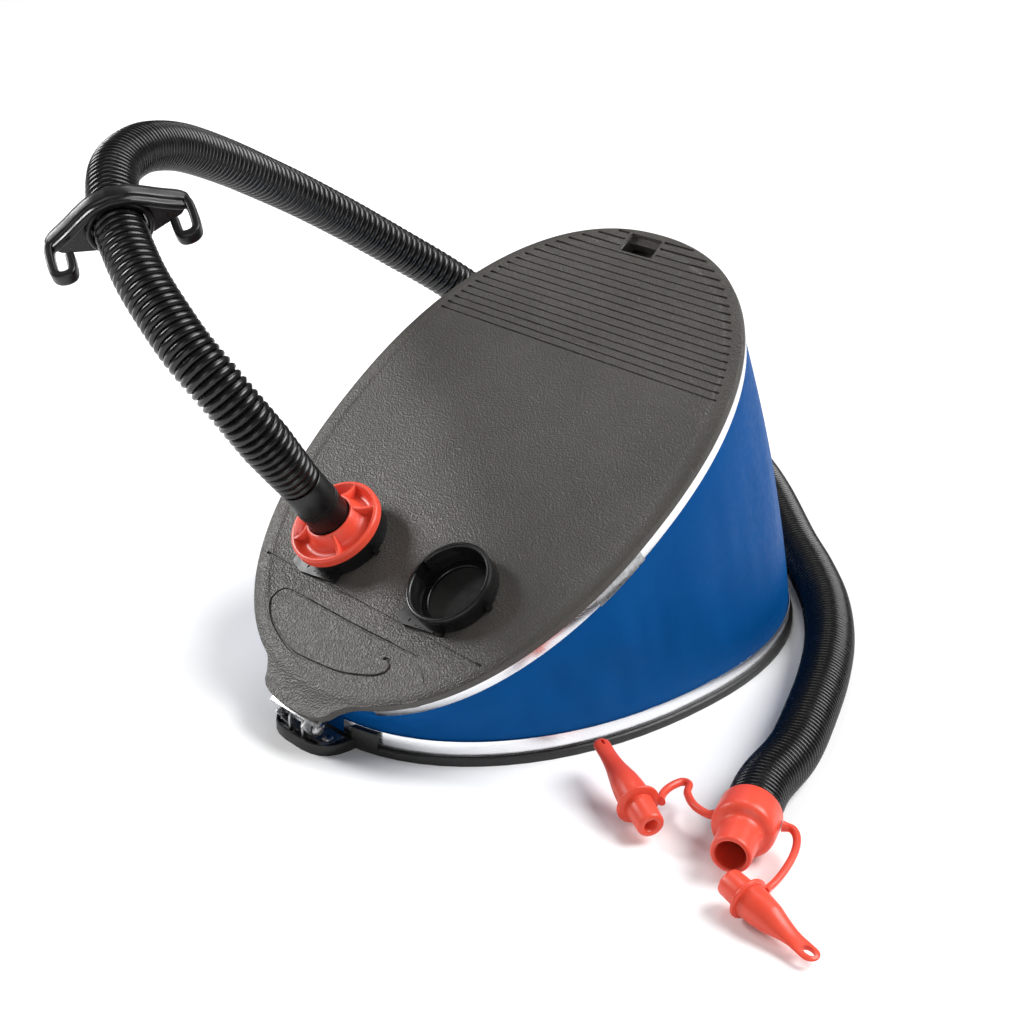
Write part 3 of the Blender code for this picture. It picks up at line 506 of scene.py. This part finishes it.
def frames_along(points):
    """(point, across, up) at each point, turning no more than the line does."""
    points = [Vector(p) for p in points]
    frames, across = [], None
    for i, point in enumerate(points):
        along = (points[min(i + 1, len(points) - 1)] - points[max(i - 1, 0)]).normalized()
        if across is None:
            across = along.orthogonal().normalized()
        across = (across - across.dot(along) * along).normalized()
        frames.append((point, across, along.cross(across)))
    return frames


def swept(name, material, frames, outlines, smooth=60):
    """A closed bar whose section at each frame is a list of (across, up) points."""
    loops = [[point + across * x + up * y for x, y in section]
             for (point, across, up), section in zip(frames, outlines)]
    return lofted(name, material, loops, along=False, smooth=smooth)


def ring_section(radius, sides, flat=1.0):
    steps = [2 * math.pi * i / sides for i in range(sides)]
    return [(radius * math.cos(a), radius * flat * math.sin(a)) for a in steps]


# Camera, floor and light

def camera():
    data = bpy.data.cameras.new("camera")
    data.sensor_width = 36.0
    data.lens = 62.67
    data.shift_x, data.shift_y = 0.0049, 0.0075
    data.clip_end = 50
    obj = bpy.data.objects.new("camera", data)
    bpy.context.scene.collection.objects.link(obj)
    forward = Vector((-0.6571, 0.6254, -0.4207)).normalized()
    right = Vector((0.6874, 0.7262, 0.0059))
    right = (right - right.dot(forward) * forward).normalized()
    turn = Matrix((right, right.cross(forward), -forward)).transposed()
    obj.matrix_world = Matrix.Translation((0.6011, -0.5982, 0.4595)) @ turn.to_4x4()
    bpy.context.scene.camera = obj


def area_light(name, place, target, size, power, colour=(1, 1, 1)):
    data = bpy.data.lights.new(name, "AREA")
    data.shape = "RECTANGLE"
    data.size, data.size_y = size
    data.energy = power
    data.color = colour
    obj = bpy.data.objects.new(name, data)
    bpy.context.scene.collection.objects.link(obj)
    aim = (Vector(target) - Vector(place)).to_track_quat("-Z", "Y")
    obj.matrix_world = Matrix.Translation(place) @ aim.to_matrix().to_4x4()


def sun_light(name, direction, strength, angle):
    """A wide soft light from a direction, the same over the whole floor."""
    data = bpy.data.lights.new(name, "SUN")
    data.energy = strength
    data.angle = math.radians(angle)
    obj = bpy.data.objects.new(name, data)
    bpy.context.scene.collection.objects.link(obj)
    obj.matrix_world = (-Vector(direction)).to_track_quat("-Z", "Y").to_matrix().to_4x4()


def studio():
    floor = mesh_piece("floor", None, [(-8, -8, 0), (8, -8, 0), (8, 8, 0), (-8, 8, 0)], [(0, 1, 2, 3)])
    surface = Surface("floor", 0.7)
    surface.colour(surface.noise(3, 2), ((0.3, (0.91, 0.91, 0.915)), (0.7, (0.93, 0.93, 0.935))))
    floor.data.materials.append(surface.material)
    world = bpy.data.worlds.new("studio")
    world.use_nodes = True
    world.node_tree.nodes["Background"].inputs["Color"].default_value = (1, 1, 1, 1)
    world.node_tree.nodes["Background"].inputs["Strength"].default_value = 0.16
    bpy.context.scene.world = world
    bpy.context.scene.view_settings.view_transform = "Standard"
    sun_light("key", (0.50, 0.62, 0.90), 3.9, 40)
    area_light("left", (-1.25, -0.60, 0.85), (-0.10, -0.06, 0.10), (0.5, 0.5), 17)
    area_light("right", (0.9, -1.1, 0.60), (0.05, 0, 0.08), (0.7, 0.7), 4)
    area_light("top", (-0.5, 0.5, 1.5), (-0.1, 0, 0.1), (0.6, 0.6), 5)


# Hose and what is on it

def hose_line():
    start = INFLATE @ Vector((0, 0, HOSE_START))
    axis = (NOZZLE_MOUTH - NOZZLE_BACK).normalized()
    route = [start, *HOSE_ROUTE, NOZZLE_BACK - axis * 0.024, NOZZLE_BACK - axis * GAP]
    return smooth_route(route, 0.002)


def hose():
    """A corrugated tube whose folds open where it is stretched and close where it is not."""
    line, travelled = hose_line()
    total = travelled[-1]
    sides = 36
    places, distance = [], 0.0
    while distance < total:
        pitch = np.interp(distance, *zip(*HOSE_PITCHES))
        for share in (0.0, 0.06, 0.18, 0.34, 0.50, 0.66, 0.82, 0.94):
            places.append((distance + share * pitch, share, pitch))
        distance += pitch
    places = [p for p in places if p[0] < total] + [(total, 0.5, 0.0026)]
    stops = [place[0] for place in places]
    centres = np.stack([np.interp(stops, travelled, line[:, axis]) for axis in range(3)], axis=1)
    sections = []
    for at, share, pitch in places:
        neck = 0.86 + 0.14 * min(1.0, at / 0.030)
        depth = 0.0015 + 0.30 * (pitch - 0.0026)
        valley = 1 - math.sin(math.pi * share) ** 0.6
        sections.append(ring_section((HOSE_RADIUS - depth * valley) * neck, sides))
    tube = swept("hose_tube", "hose_plastic", frames_along(centres), sections, smooth=75)
    low, high = HOSE_BEND
    weights = []
    for at, _, _ in places:
        share = min(1.0, max(0.0, (at - low) / (high - low)))
        weights += [share * share * (3 - 2 * share)] * sides
    bend_with(tube)
    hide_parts("hose")
    return tube, line, total


def clip_matrix():
    """The clip's frame: z along the hose, x across it. Its place and axis are its joint's."""
    joint = next(j for j in frame["record"]["behaviour"]["joints"] if j["name"] == "hose_clip_turn")
    along = Vector(joint["axis"]).normalized()
    across = (CLIP_ACROSS - CLIP_ACROSS.dot(along) * along).normalized()
    turn = Matrix((across, along.cross(across), along)).transposed()
    return Matrix.Translation(joint["pos_m"]) @ turn.to_4x4()


def bow(place):
    """The band over the hose, with a stepped lower lip. It narrows to its rounded ends."""
    half, _ = smooth_route([(x, y, 0) for x, y in CLIP_ARCH], 0.0008)
    points = [(-x, y) for x, y, _ in half[:0:-1]] + [(x, y) for x, y, _ in half]
    section = rounded([(-0.0022, -0.0070), (0.0008, -0.0072), (0.0014, -0.0062), (0.0012, -0.0040),
                       (0.0026, -0.0030), (0.0030, 0.0012), (0.0020, 0.0042), (-0.0022, 0.0042)], 0.0008)
    taper_from = 0.0290
    loops = []
    for i, (x, y) in enumerate(points):
        ahead, behind = points[min(i + 1, len(points) - 1)], points[max(i - 1, 0)]
        along = Vector((ahead[0] - behind[0], ahead[1] - behind[1])).normalized()
        end = max(0.0, (abs(x) - taper_from) / (CLIP_ARCH[-1][0] - taper_from))
        size = math.sqrt(max(0.0, 1 - end ** 2.4)) * 0.75 + 0.25
        loops.append([(x + along.y * out * size, y - along.x * out * size, z * size - 0.0010 * end)
                      for out, z in section])
    return lofted("bow", "black_plastic", loops, along=False, place=place, smooth=40)


def hook(side, place):
    """The bent end of an arm: down along the hose, round, and part of the way back."""
    half_thick, half_wide, squareness, middle = 0.0022, 0.0036, 0.45, -0.0005
    path, travelled = smooth_route([(x, z, 0) for x, z in CLIP_HOOK], 0.0008)
    loops = []
    for i, (x, z, _) in enumerate(path):
        along = Vector(path[min(i + 1, len(path) - 1)] - path[max(i - 1, 0)]).normalized()
        left = (travelled[-1] - travelled[i]) / 0.0020
        end = math.sqrt(max(0.0, 1 - max(0.0, 1 - left) ** 2)) * 0.9 + 0.1
        loop = []
        for j in range(32):
            angle = 2 * math.pi * j / 32
            out = half_thick * end * signed_power(math.cos(angle), squareness)
            wide = half_wide * end * signed_power(math.sin(angle), squareness)
            loop.append((side * (x - along.y * out), middle + wide, z + along.x * out))
        loops.append(loop)
    return lofted(f"hook_{side}", "black_plastic", loops, along=False, place=place, smooth=40)


def hose_clip():
    place = clip_matrix()
    profile = rounded([(0.0137, -0.0060), (0.0160, -0.0064), (0.0168, -0.0050), (0.0170, 0.0),
                       (0.0166, 0.0060), (0.0137, 0.0060)], 0.0009)
    ring = turned("clip", "black_plastic", profile, place)
    pieces = [bow(place)]
    for side in (-1, 1):
        edge = [(side * x, y) for x, y in rounded(CLIP_WEB, 0.0010)]
        web = prism(f"web_{side}", edge, -0.0035, 0.0, place)
        finish_mesh(web.data, "black_plastic")
        pieces += [hook(side, place), web]
    attach(joined(ring, *pieces), "clip", "black_plastic", "hose_clip")
    return ring


def aimed(start, end):
    turn = (end - start).to_track_quat("Z", "Y").to_matrix().to_4x4()
    return Matrix.Translation(start) @ turn


def nozzle():
    place = aimed(NOZZLE_BACK, NOZZLE_MOUTH)
    length = (NOZZLE_MOUTH - NOZZLE_BACK).length
    profile = [(0.0139, 0.0), (0.0145, 0.0005), (0.0145, 0.0128), (0.0141, 0.0150), (0.0126, 0.0166),
               (0.0108, 0.0174), (0.0098, 0.0184), (0.0094, 0.0202), (0.0092, length - 0.0010),
               (0.0086, length), (0.0073, length), (0.0067, length - 0.0008), (0.0064, 0.0150),
               (0.0100, 0.0125), (0.0100, 0.0)]
    body = turned("nozzle_body", "red_plastic", rounded(profile, 0.0009), place, smooth=40)
    attach(body, "base", "red_plastic", "nozzle")
    return body


def adapter_body(word, place, length, rim, plug):
    """A plug with a dished end, a thin flange, and a cone that flattens into a blunt tip."""
    reach = length + (0.0035 if word == "right" else 0.0)
    tip = 0.0044 if word == "right" else 0.0041
    plug_and_flange = [
        (0.0026, -plug + 0.0050), (0.0032, -plug + 0.0006), (0.0040, -plug), (0.0052, -plug),
        (0.0060, -plug + 0.0006), (0.0063, -plug + 0.0016), (0.0067, -0.0011), (rim - 0.0003, -0.0008),
        (rim, -0.0004), (rim, 0.0004), (rim - 0.0003, 0.0008)]
    cone = ((0.03, 0.0077), (0.18, 0.0074), (0.32, 0.0067), (0.45, 0.0057), (0.57, 0.0048), (0.68, 0.0043))
    outside = [(0.0080, 0.0011)] + [(radius, reach * share) for share, radius in cone]
    outside += [(tip, reach * 0.78), (tip, reach - tip)]
    outside += [(tip * math.cos(math.radians(a)), reach - tip + tip * math.sin(math.radians(a)))
                for a in range(15, 90, 15)]
    points, _ = smooth_route([(radius, z, 0) for radius, z in outside], 0.0008)
    profile = plug_and_flange + [(radius, z) for radius, z, _ in points] + [(0.0004, reach)]
    thin = 0.30 if word == "right" else 0.62
    loops = []
    for radius, z in profile:
        flat = 1 - (1 - thin) * min(1.0, max(0.0, (z / reach - 0.35) / 0.45))
        loops.append([(radius * math.cos(a), radius * flat * math.sin(a), z)
                      for a in (2 * math.pi * i / 72 for i in range(72))])
    body = lofted(f"adapter_{word}_body", "red_plastic", loops, along=False)
    half_width, half_length = (0.0021, 0.0031) if word == "right" else (0.0007, 0.0019)
    centre = reach - tip - 0.0004
    steps = [2 * math.pi * i / 40 for i in range(40)]
    eye = lofted("eye", None, [[(half_width * math.cos(a), y, centre + half_length * math.sin(a))
                                for a in steps] for y in (-0.01, 0.01)], along=False)
    boolean(body, eye)
    settled(body, eye)
    body.data.transform(place)
    finish_mesh(body.data, "red_plastic", 50)
    return body


def strap_tether(word, route):
    """A moulded strap that thickens where it meets the nozzle and the flange."""
    points, travelled = smooth_route(route, 0.0008)
    sections = []
    for at in travelled:
        from_end = min(at, travelled[-1] - at)
        thick = STRAP_RADIUS * (1 + 0.35 * max(0.0, 1 - from_end / 0.004) ** 2)
        sections.append(ring_section(thick, 24, 0.85))
    return swept(f"strap_{word}_tether", "red_plastic", frames_along(points), sections)


def reached(route, at_nozzle, at_flange):
    """The strap's route, with its ends moved on into the pieces that they are moulded on."""
    start, end = Vector(route[0]), Vector(route[-1])
    before, after = Vector(route[1]), Vector(route[-2])
    return [start + (start - before).normalized() * at_nozzle, *route[1:-1],
            end + (end - after).normalized() * at_flange]


def adapters():
    made = []
    for (word, flange, tip, rim, plug), route in zip(ADAPTERS, (STRAP_LEFT, STRAP_RIGHT)):
        body = adapter_body(word, aimed(flange, tip), (tip - flange).length, rim, plug)
        attach(body, f"{word}_adapter", "red_plastic", f"adapter_{word}")
        strap = strap_tether(word, reached(route, 0.0006, 0.0012))
        attach(strap, f"{word}_adapter", "red_plastic", f"strap_{word}")
        made += [body, strap]
    return made


# Pedal

def groove(name, path, width, depth, top):
    """A cutter whose section narrows downwards, along a path on the pedal."""
    section = ((-width * 0.25, -depth), (width * 0.25, -depth),
               (width * 0.85, depth * 1.4), (-width * 0.85, depth * 1.4))
    loops = []
    for i, point in enumerate(path):
        ahead, behind = path[min(i + 1, len(path) - 1)], path[max(i - 1, 0)]
        along = Vector((ahead[0] - behind[0], ahead[1] - behind[1])).normalized()
        side = Vector((-along.y, along.x))
        loops.append([(point[0] + side.x * s, point[1] + side.y * s, top + z) for s, z in section])
    return lofted(name, None, loops, along=False)


def tread_grooves():
    pieces = []
    pitch = (TREAD_END - TREAD_START) / (TREAD_GROOVES - 1)
    for i in range(TREAD_GROOVES):
        y = TREAD_START + pitch * i
        reach = half_width_at(y, 0.0072)
        spans = [(-reach, reach)]
        if SLOT_LOW[1] - 0.0012 < y < SLOT_HIGH[1] + 0.0012:
            spans = [(-reach, SLOT_LOW[0] - 0.0016), (SLOT_HIGH[0] + 0.0016, reach)]
        for j, (low, high) in enumerate(spans):
            if high - low > 0.004:
                pieces.append(groove(f"tread_{i}_{j}", [(low, y), (high, y)], 0.0011, 0.0009, GROOVE_TOP))
    return joined(*pieces)


def heel_grooves():
    reach = half_width_at(HEEL_LINE_Y, 0.0060)
    ends = [(-reach, HEEL_LINE_Y), (reach, HEEL_LINE_Y)]
    pieces = [groove("heel_line", ends, 0.0012, 0.0008, GROOVE_TOP)]
    points, _ = smooth_route([(x, y, 0) for x, y in HEEL_CURVE], 0.0015)
    pieces.append(groove("heel_curve", [(p[0], p[1]) for p in points], 0.0014, 0.0008, GROOVE_TOP))
    return joined(*pieces)


def top_plate():
    """The pedal's plate: a rim round a slightly sunken field, with its lug, grooves, ports and slot."""
    layers = ((0.0005, PLATE_UNDER), (0.0, PLATE_UNDER + 0.0005), (0.0, PLATE_TOP - 0.0010),
              (0.0003, PLATE_TOP - 0.0004), (0.0010, PLATE_TOP), (0.0078, PLATE_TOP),
              (0.0088, PLATE_TOP - 0.00012), (0.0098, FIELD_TOP + 0.00010), (0.0108, FIELD_TOP))
    loops = [[(x, y, z) for x, y in outline(inset, PLATE_CENTRE)] for inset, z in layers]
    plate = lofted("plate", "plate_plastic", loops, along=False)
    lug_points, _ = smooth_route([(x, y, 0) for x, y in (*LUG, LUG[0])], 0.0012)
    lug = prism("lug", [(p[0], p[1]) for p in lug_points[:-1]], PLATE_UNDER, PLATE_TOP - 0.00004)
    wall = lofted("wall", None, [[(x, y, z) for x, y in outline(inset, PLATE_CENTRE)] for inset, z in
                                 ((0.0048, PEDAL_WALL_BOTTOM), (0.0048, 0.0095), (0.0073, 0.0095),
                                  (0.0073, PEDAL_WALL_BOTTOM))])
    x_low, x_high = SLOT_LOW[0] - 0.0014, SLOT_HIGH[0] + 0.0014
    y_low = SLOT_LOW[1] - 0.0014
    shell = prism("shell", [(x_low, y_low), (x_high, y_low), (x_high, POCKET_END), (x_low, POCKET_END)],
                  0.0031, 0.0095)
    boolean(plate, lug, "UNION")
    boolean(plate, wall, "UNION")
    boolean(plate, shell, "UNION")
    slot = [(SLOT_LOW[0], SLOT_LOW[1]), (SLOT_HIGH[0], SLOT_LOW[1]), (SLOT_HIGH[0], SLOT_HIGH[1]),
            (SLOT_LOW[0], SLOT_HIGH[1])]
    y_high = POCKET_END - 0.0014
    pocket = [SLOT_LOW, (SLOT_HIGH[0], SLOT_LOW[1]), (SLOT_HIGH[0], y_high), (SLOT_LOW[0], y_high)]
    cutters = [prism("slot", rounded(slot, 0.0012), 0.0104, 0.02), prism("pocket", pocket, 0.0046, 0.012),
               tread_grooves(), heel_grooves()]
    for side in (-1, 1):
        steps = [2 * math.pi * i / 96 for i in range(96)]
        circle = [(side * PORT_X + 0.0215 * math.cos(a), PORT_Y + 0.0215 * math.sin(a)) for a in steps]
        cutters.append(prism(f"port_{side}", circle, -0.01, 0.03))
    for cutter in cutters:
        boolean(plate, cutter)
    settled(plate, lug, wall, shell, *cutters)
    plate.data.transform(PEDAL)
    finish_mesh(plate.data, "plate_plastic", 30)
    plate.name = "pedal_plate"
    attach(plate, "pedal", "plate_plastic", "top_plate")
    slot_painted_light()


def slot_painted_light():
    """Painted light in the slot: a bright aluminium strip on its left wall as a painted highlight, and a
    black floor in the pocket as painted shade.
    """
    edge = 0.0006
    (x_low, y_low), (x_high, y_high) = SLOT_LOW, SLOT_HIGH
    # Painted highlight: a bright aluminium strip stands for light falling on the slot's left plastic wall.
    left = prism("slot_painted_highlight", [(x_low, y_low + edge), (x_low + edge, y_low + edge),
                               (x_low + edge, y_high - edge), (x_low, y_high - edge)],
                 0.0100, FIELD_TOP - 0.0002, PEDAL)
    finish_mesh(left.data, "aluminium")
    attach(left, "pedal", "aluminium")
    x_low, x_high, y_low, y_high = x_low + 0.0002, x_high - 0.0002, y_low + 0.0002, POCKET_END - 0.0016
    # Painted shade: a black floor stands for the dark inside the slot.
    floor = prism("slot_painted_shade", [(x_low, y_low), (x_high, y_low), (x_high, y_high), (x_low, y_high)],
                  0.0040, 0.0050, PEDAL)
    finish_mesh(floor.data, "black_plastic")
    attach(floor, "pedal", "black_plastic")


def collar(name, place, node, tab_outline):
    """A port's collar: a smooth black bore with two lock notches, and a flat tab for its lock marks."""
    profile = [(0.0222, -0.0004), (0.0222, 0.0060), (0.0225, 0.0066), (0.0225, 0.0088), (0.0221, 0.0097),
               (0.0214, 0.0100), (0.0207, 0.0100), (0.0201, 0.0096), (0.0198, 0.0088), (0.0196, 0.0052),
               (0.0193, 0.0048), (0.0193, -0.0150), (0.0212, -0.0150), (0.0212, -0.0004)]
    ring = turned(f"{name}_ring", "black_plastic", profile, Matrix.Identity(4), sides=128, smooth=40)
    slots = []
    for side in (-1, 1):
        corners = [(side * 0.0180, -0.0036), (side * 0.0206, -0.0036),
                   (side * 0.0206, 0.0036), (side * 0.0180, 0.0036)]
        slots.append(prism(f"notch_{side}", corners, 0.0030, 0.0120))
    for cutter in slots:
        boolean(ring, cutter)
    settled(ring, *slots)
    for side in (-1, 1):
        corners = [(side * 0.0222, -0.0016), (side * 0.0240, -0.0013),
                   (side * 0.0240, 0.0013), (side * 0.0222, 0.0016)]
        joined(ring, prism(f"tick_{side}", corners, -0.0004, 0.0040))
    ring.data.transform(place)
    finish_mesh(ring.data, "black_plastic", 40)
    attach(ring, "pedal", "black_plastic", node)
    tab = prism(f"{name}_tab", rounded(tab_outline, 0.0016, 4), -0.0004, 0.0015)
    bore = prism(f"{name}_tab_bore", ring_section(0.0218, 64), -0.01, 0.02)
    boolean(tab, bore)
    marks = tab_marks((tab_outline[2][0] + tab_outline[3][0]) / 2)
    boolean(tab, marks)
    settled(tab, bore, marks)
    tab.data.transform(place)
    finish_mesh(tab.data, "black_plastic", 30)
    attach(tab, "pedal", "black_plastic")


def tab_marks(centre):
    """Plain cut marks on a tab: a dot at each end and a row of short bars between them."""
    pieces = []
    for side in (-1, 1):
        dot = [(centre + side * 0.0088 + x, y - 0.0231) for x, y in ring_section(0.0009, 20)]
        pieces.append(prism(f"dot_{side}", dot, 0.0011, 0.003))
    for i in range(-1, 2):
        x, half = centre + i * 0.0032, 0.0010
        bar = [(x - half, -0.0242), (x + half, -0.0242), (x + half, -0.0236), (x - half, -0.0236)]
        pieces.append(prism(f"bar_{i}", bar, 0.0011, 0.003))
    return joined(*pieces)


def connector():
    profile = [(0.0160, -0.0015), (0.0188, -0.0015), (0.0188, 0.0103), (0.0246, 0.0103), (0.0246, 0.0136),
               (0.0243, 0.0145), (0.0236, 0.0150), (0.0228, 0.0150), (0.0221, 0.0144), (0.0212, 0.0126),
               (0.0196, 0.0112), (0.0178, 0.0110), (0.0160, 0.0118), (0.0147, 0.0136), (0.0137, 0.0164),
               (0.0130, 0.0188), (0.0126, 0.0195), (0.0119, 0.0195), (0.0115, 0.0191), (0.0115, 0.0122),
               (0.0092, 0.0118), (0.0092, 0.0090), (0.0160, 0.0060)]
    body = turned("connector_body", "red_plastic", profile, Matrix.Identity(4), sides=128, smooth=40)
    shape = [(0.0125, 0.0105), (0.0228, 0.0105), (0.0228, 0.0146), (0.0200, 0.0149), (0.0160, 0.0166),
             (0.0136, 0.0187), (0.0125, 0.0190)]
    ribs = []
    for i, angle in enumerate(RIB_ANGLES):
        turn = Matrix.Rotation(math.radians(angle), 4, "Z")
        loops = []
        for side, shrink in ((-0.0011, 0.0006), (-0.0007, 0.0), (0.0007, 0.0), (0.0011, 0.0006)):
            loops.append([turn @ Vector((radius - shrink, side, z - shrink)) for radius, z in shape])
        ribs.append(lofted(f"rib_{i}", "red_plastic", loops, along=False, smooth=50))
    joined(body, *ribs)
    body.data.transform(INFLATE)
    attach(body, "connector", "red_plastic", "bayonet_connector")


def cuff():
    """The hose's smooth end, with two thin rings."""
    outer = [(0.0110, 0.0128)]
    for low in (0.0300, 0.0318):
        outer += [(0.0112, low), (0.0115, low + 0.0002), (0.0115, low + 0.0006), (0.0112, low + 0.0008)]
    profile = outer + [(0.0113, 0.0474), (0.0109, 0.0480), (0.0085, 0.0480), (0.0085, 0.0128)]
    body = turned("cuff", "black_plastic", profile, INFLATE, smooth=40)
    attach(body, "pedal", "black_plastic", "hose_cuff")


# Bellows, bands and spring

def bellows():
    """The sheet, taut over the toe and softly creased at the sides and near the hinge."""
    columns, rows = 360, 44

    def hem(inset, z, frame, centre):
        return [frame @ Vector((x, y, z)) for x, y in outline(inset, centre, columns)]

    loops, weights = [], []
    for inset, order in ((HEM_INSETS[0], 1), (HEM_INSETS[1], -1)):
        low = hem(inset, BASE_WALL_TOP, Matrix.Identity(4), 0.0)
        high = hem(inset, PEDAL_WALL_BOTTOM, PEDAL, PLATE_CENTRE)
        side = [hem(inset, BASE_EDGE + GAP, Matrix.Identity(4), 0.0)]
        shares = [0.0]
        for row in range(rows + 1):
            share = row / rows
            side.append([sheet_point(a, b, share) for a, b in zip(low, high)])
            shares.append(share)
        side.append(hem(inset, PLATE_UNDER - GAP, PEDAL, PLATE_CENTRE))
        shares.append(1.0)
        loops += side[::order]
        weights += shares[::order]
    sheet = lofted("bellows_skin", "bellows_sheet", loops, smooth=60)
    bend_with(sheet)
    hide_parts("bellows")


def sheet_point(low, high, share):
    """A point of the sheet, share of the way up, with its swell and creases."""
    point = low.lerp(high, share)
    height = (high - low).length
    outward = Vector((low.x, low.y, 0)).normalized()
    around = math.atan2(low.x, low.y)
    held = math.sin(math.pi * share) ** 0.7
    swell = 0.020 * height * held
    soft = noise.noise(Vector((3.0 * math.sin(around), 3.0 * math.cos(around), share * 1.4 + 3.1)))
    creases = noise.noise(Vector((9.0 * math.sin(around), 9.0 * math.cos(around), share * 2.2 - height * 6)))
    near_hinge = max(0.0, -math.cos(around))
    swell += held * (0.0022 * soft + 0.0016 * creases * (0.35 + near_hinge))
    return point + outward * max(swell, -0.0012 * held)


def bands():
    """The bright strips round both hems, and the clips over their joints."""
    level = Matrix.Identity(4)
    span = math.pi - 0.11
    base_trim = outline_strip("base_trim", "aluminium", BAND_INSETS, BASE_EDGE + GAP, BASE_WALL_TOP - 0.0001,
                              (-span, span), OUTLINE_STEPS, 0.0, level)
    attach(base_trim, "base", "aluminium", "base_band")
    span = (1.5 * math.pi - 0.10, 1.5 * math.pi + 0.10)
    base_clip = outline_strip("base_trim_clip", "aluminium", (0.0008, 0.0017), BASE_EDGE + 0.0006,
                              BASE_WALL_TOP - 0.0004, span, 24, 0.0, level)
    attach(base_clip, "base", "zinc_steel", "base_band_clip")
    span = math.pi - 0.33
    pedal_trim = outline_strip("pedal_trim", "aluminium", BAND_INSETS, PEDAL_WALL_BOTTOM + 0.0001,
                               PLATE_UNDER - GAP, (-span, span), OUTLINE_STEPS, PLATE_CENTRE, PEDAL)
    attach(pedal_trim, "pedal", "aluminium", "top_band")
    span = (0.5 * math.pi + 0.08, 0.5 * math.pi + 0.27)
    pedal_clip = outline_strip("pedal_trim_clip", "zinc_steel", (0.0009, 0.0017), PEDAL_WALL_BOTTOM + 0.0004,
                               PLATE_UNDER - 0.0006, span, 24, PLATE_CENTRE, PEDAL)
    attach(pedal_clip, "pedal", "zinc_steel", "top_band_clip")


def return_spring():
    clearance = SPRING_WIRE_RADIUS + 0.0006
    first = (BASE_EDGE + GAP + 0.0020 + clearance - HINGE.z) / SPRING_ARC_RADIUS
    last = OPEN_ANGLE + (PLATE_UNDER - GAP - 0.0020 - clearance) / SPRING_ARC_RADIUS
    rise = 0.0036 / SPRING_ARC_RADIUS
    steps, points, lifts = 40, [], []
    for i in range(SPRING_TURNS * steps + 1):
        turn = i / steps
        if turn < 1:
            lift = first + rise * turn
        elif turn > SPRING_TURNS - 1:
            lift = last - rise * (SPRING_TURNS - turn)
        else:
            lift = np.interp(turn, (1, SPRING_TURNS - 1), (first + rise, last - rise))
        reach = SPRING_ARC_RADIUS + SPRING_COIL_RADIUS * math.cos(2 * math.pi * turn)
        points.append(HINGE + Vector((SPRING_COIL_RADIUS * math.sin(2 * math.pi * turn),
                                      reach * math.cos(lift), reach * math.sin(lift))))
        lifts.append(lift)
    sections = [ring_section(SPRING_WIRE_RADIUS, 12)] * len(points)
    wire = swept("spring_wire", "zinc_steel", frames_along(points), sections)
    bend_with(wire)
    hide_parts("return_spring")


# CAD pieces that keep their shape

def softened(node, body, material, slot, width=0.0003):
    """A copy of a CAD node with softened edges, which stands for it."""
    mesh = frame["nodes"][node].data.copy()
    work = bmesh.new()
    work.from_mesh(mesh)
    bmesh.ops.remove_doubles(work, verts=work.verts, dist=2e-6)
    bmesh.ops.dissolve_limit(work, angle_limit=math.radians(1), verts=work.verts, edges=work.edges)
    bmesh.ops.recalc_face_normals(work, faces=work.faces)
    work.to_mesh(mesh)
    work.free()
    obj = bpy.data.objects.new(f"{node}_soft", mesh)
    bpy.context.scene.collection.objects.link(obj)
    edge = obj.modifiers.new("edges", "BEVEL")
    edge.width = width
    edge.segments = 2
    edge.limit_method = "ANGLE"
    edge.angle_limit = math.radians(40)
    edge.use_clamp_overlap = True
    settled(obj)
    finish_mesh(obj.data, material, 35)
    attach(obj, body, slot, node)


def kept_pieces():
    for node in ("base_hinge_bracket", "hinge_pin", "base_bracket_screw_left", "base_bracket_screw_right"):
        softened(node, "base", "zinc_steel", "zinc_steel", 0.0002)
    for node in ("pedal_hinge_bracket", "pedal_bracket_screw_left", "pedal_bracket_screw_right"):
        softened(node, "pedal", "zinc_steel", "zinc_steel", 0.0002)
    softened("base_plate", "base", "base_plastic", "black_plastic", 0.0004)
    looks = {"spring_seat_base": "black_plastic", "spring_seat_top": "black_plastic",
             "inflate_valve_seat": "black_plastic", "deflate_valve_seat": "black_plastic",
             "deflate_valve_cage": "black_plastic", "connector_seal": "rubber",
             "inflate_valve_flap": "rubber", "deflate_valve_flap": "rubber"}
    for node, material in looks.items():
        mesh = frame["nodes"][node].data
        mesh.materials.clear()
        mesh.materials.append(MATERIALS[material])


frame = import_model()
camera()
tube, line, length = hose()
clip = hose_clip()
end = nozzle()
parts = adapters()
studio()
top_plate()
collar("inflate", INFLATE, "inflate_collar", INFLATE_TAB)
collar("deflate", DEFLATE, "deflate_collar", DEFLATE_TAB)
connector()
cuff()
bellows()
bands()
return_spring()
kept_pieces()
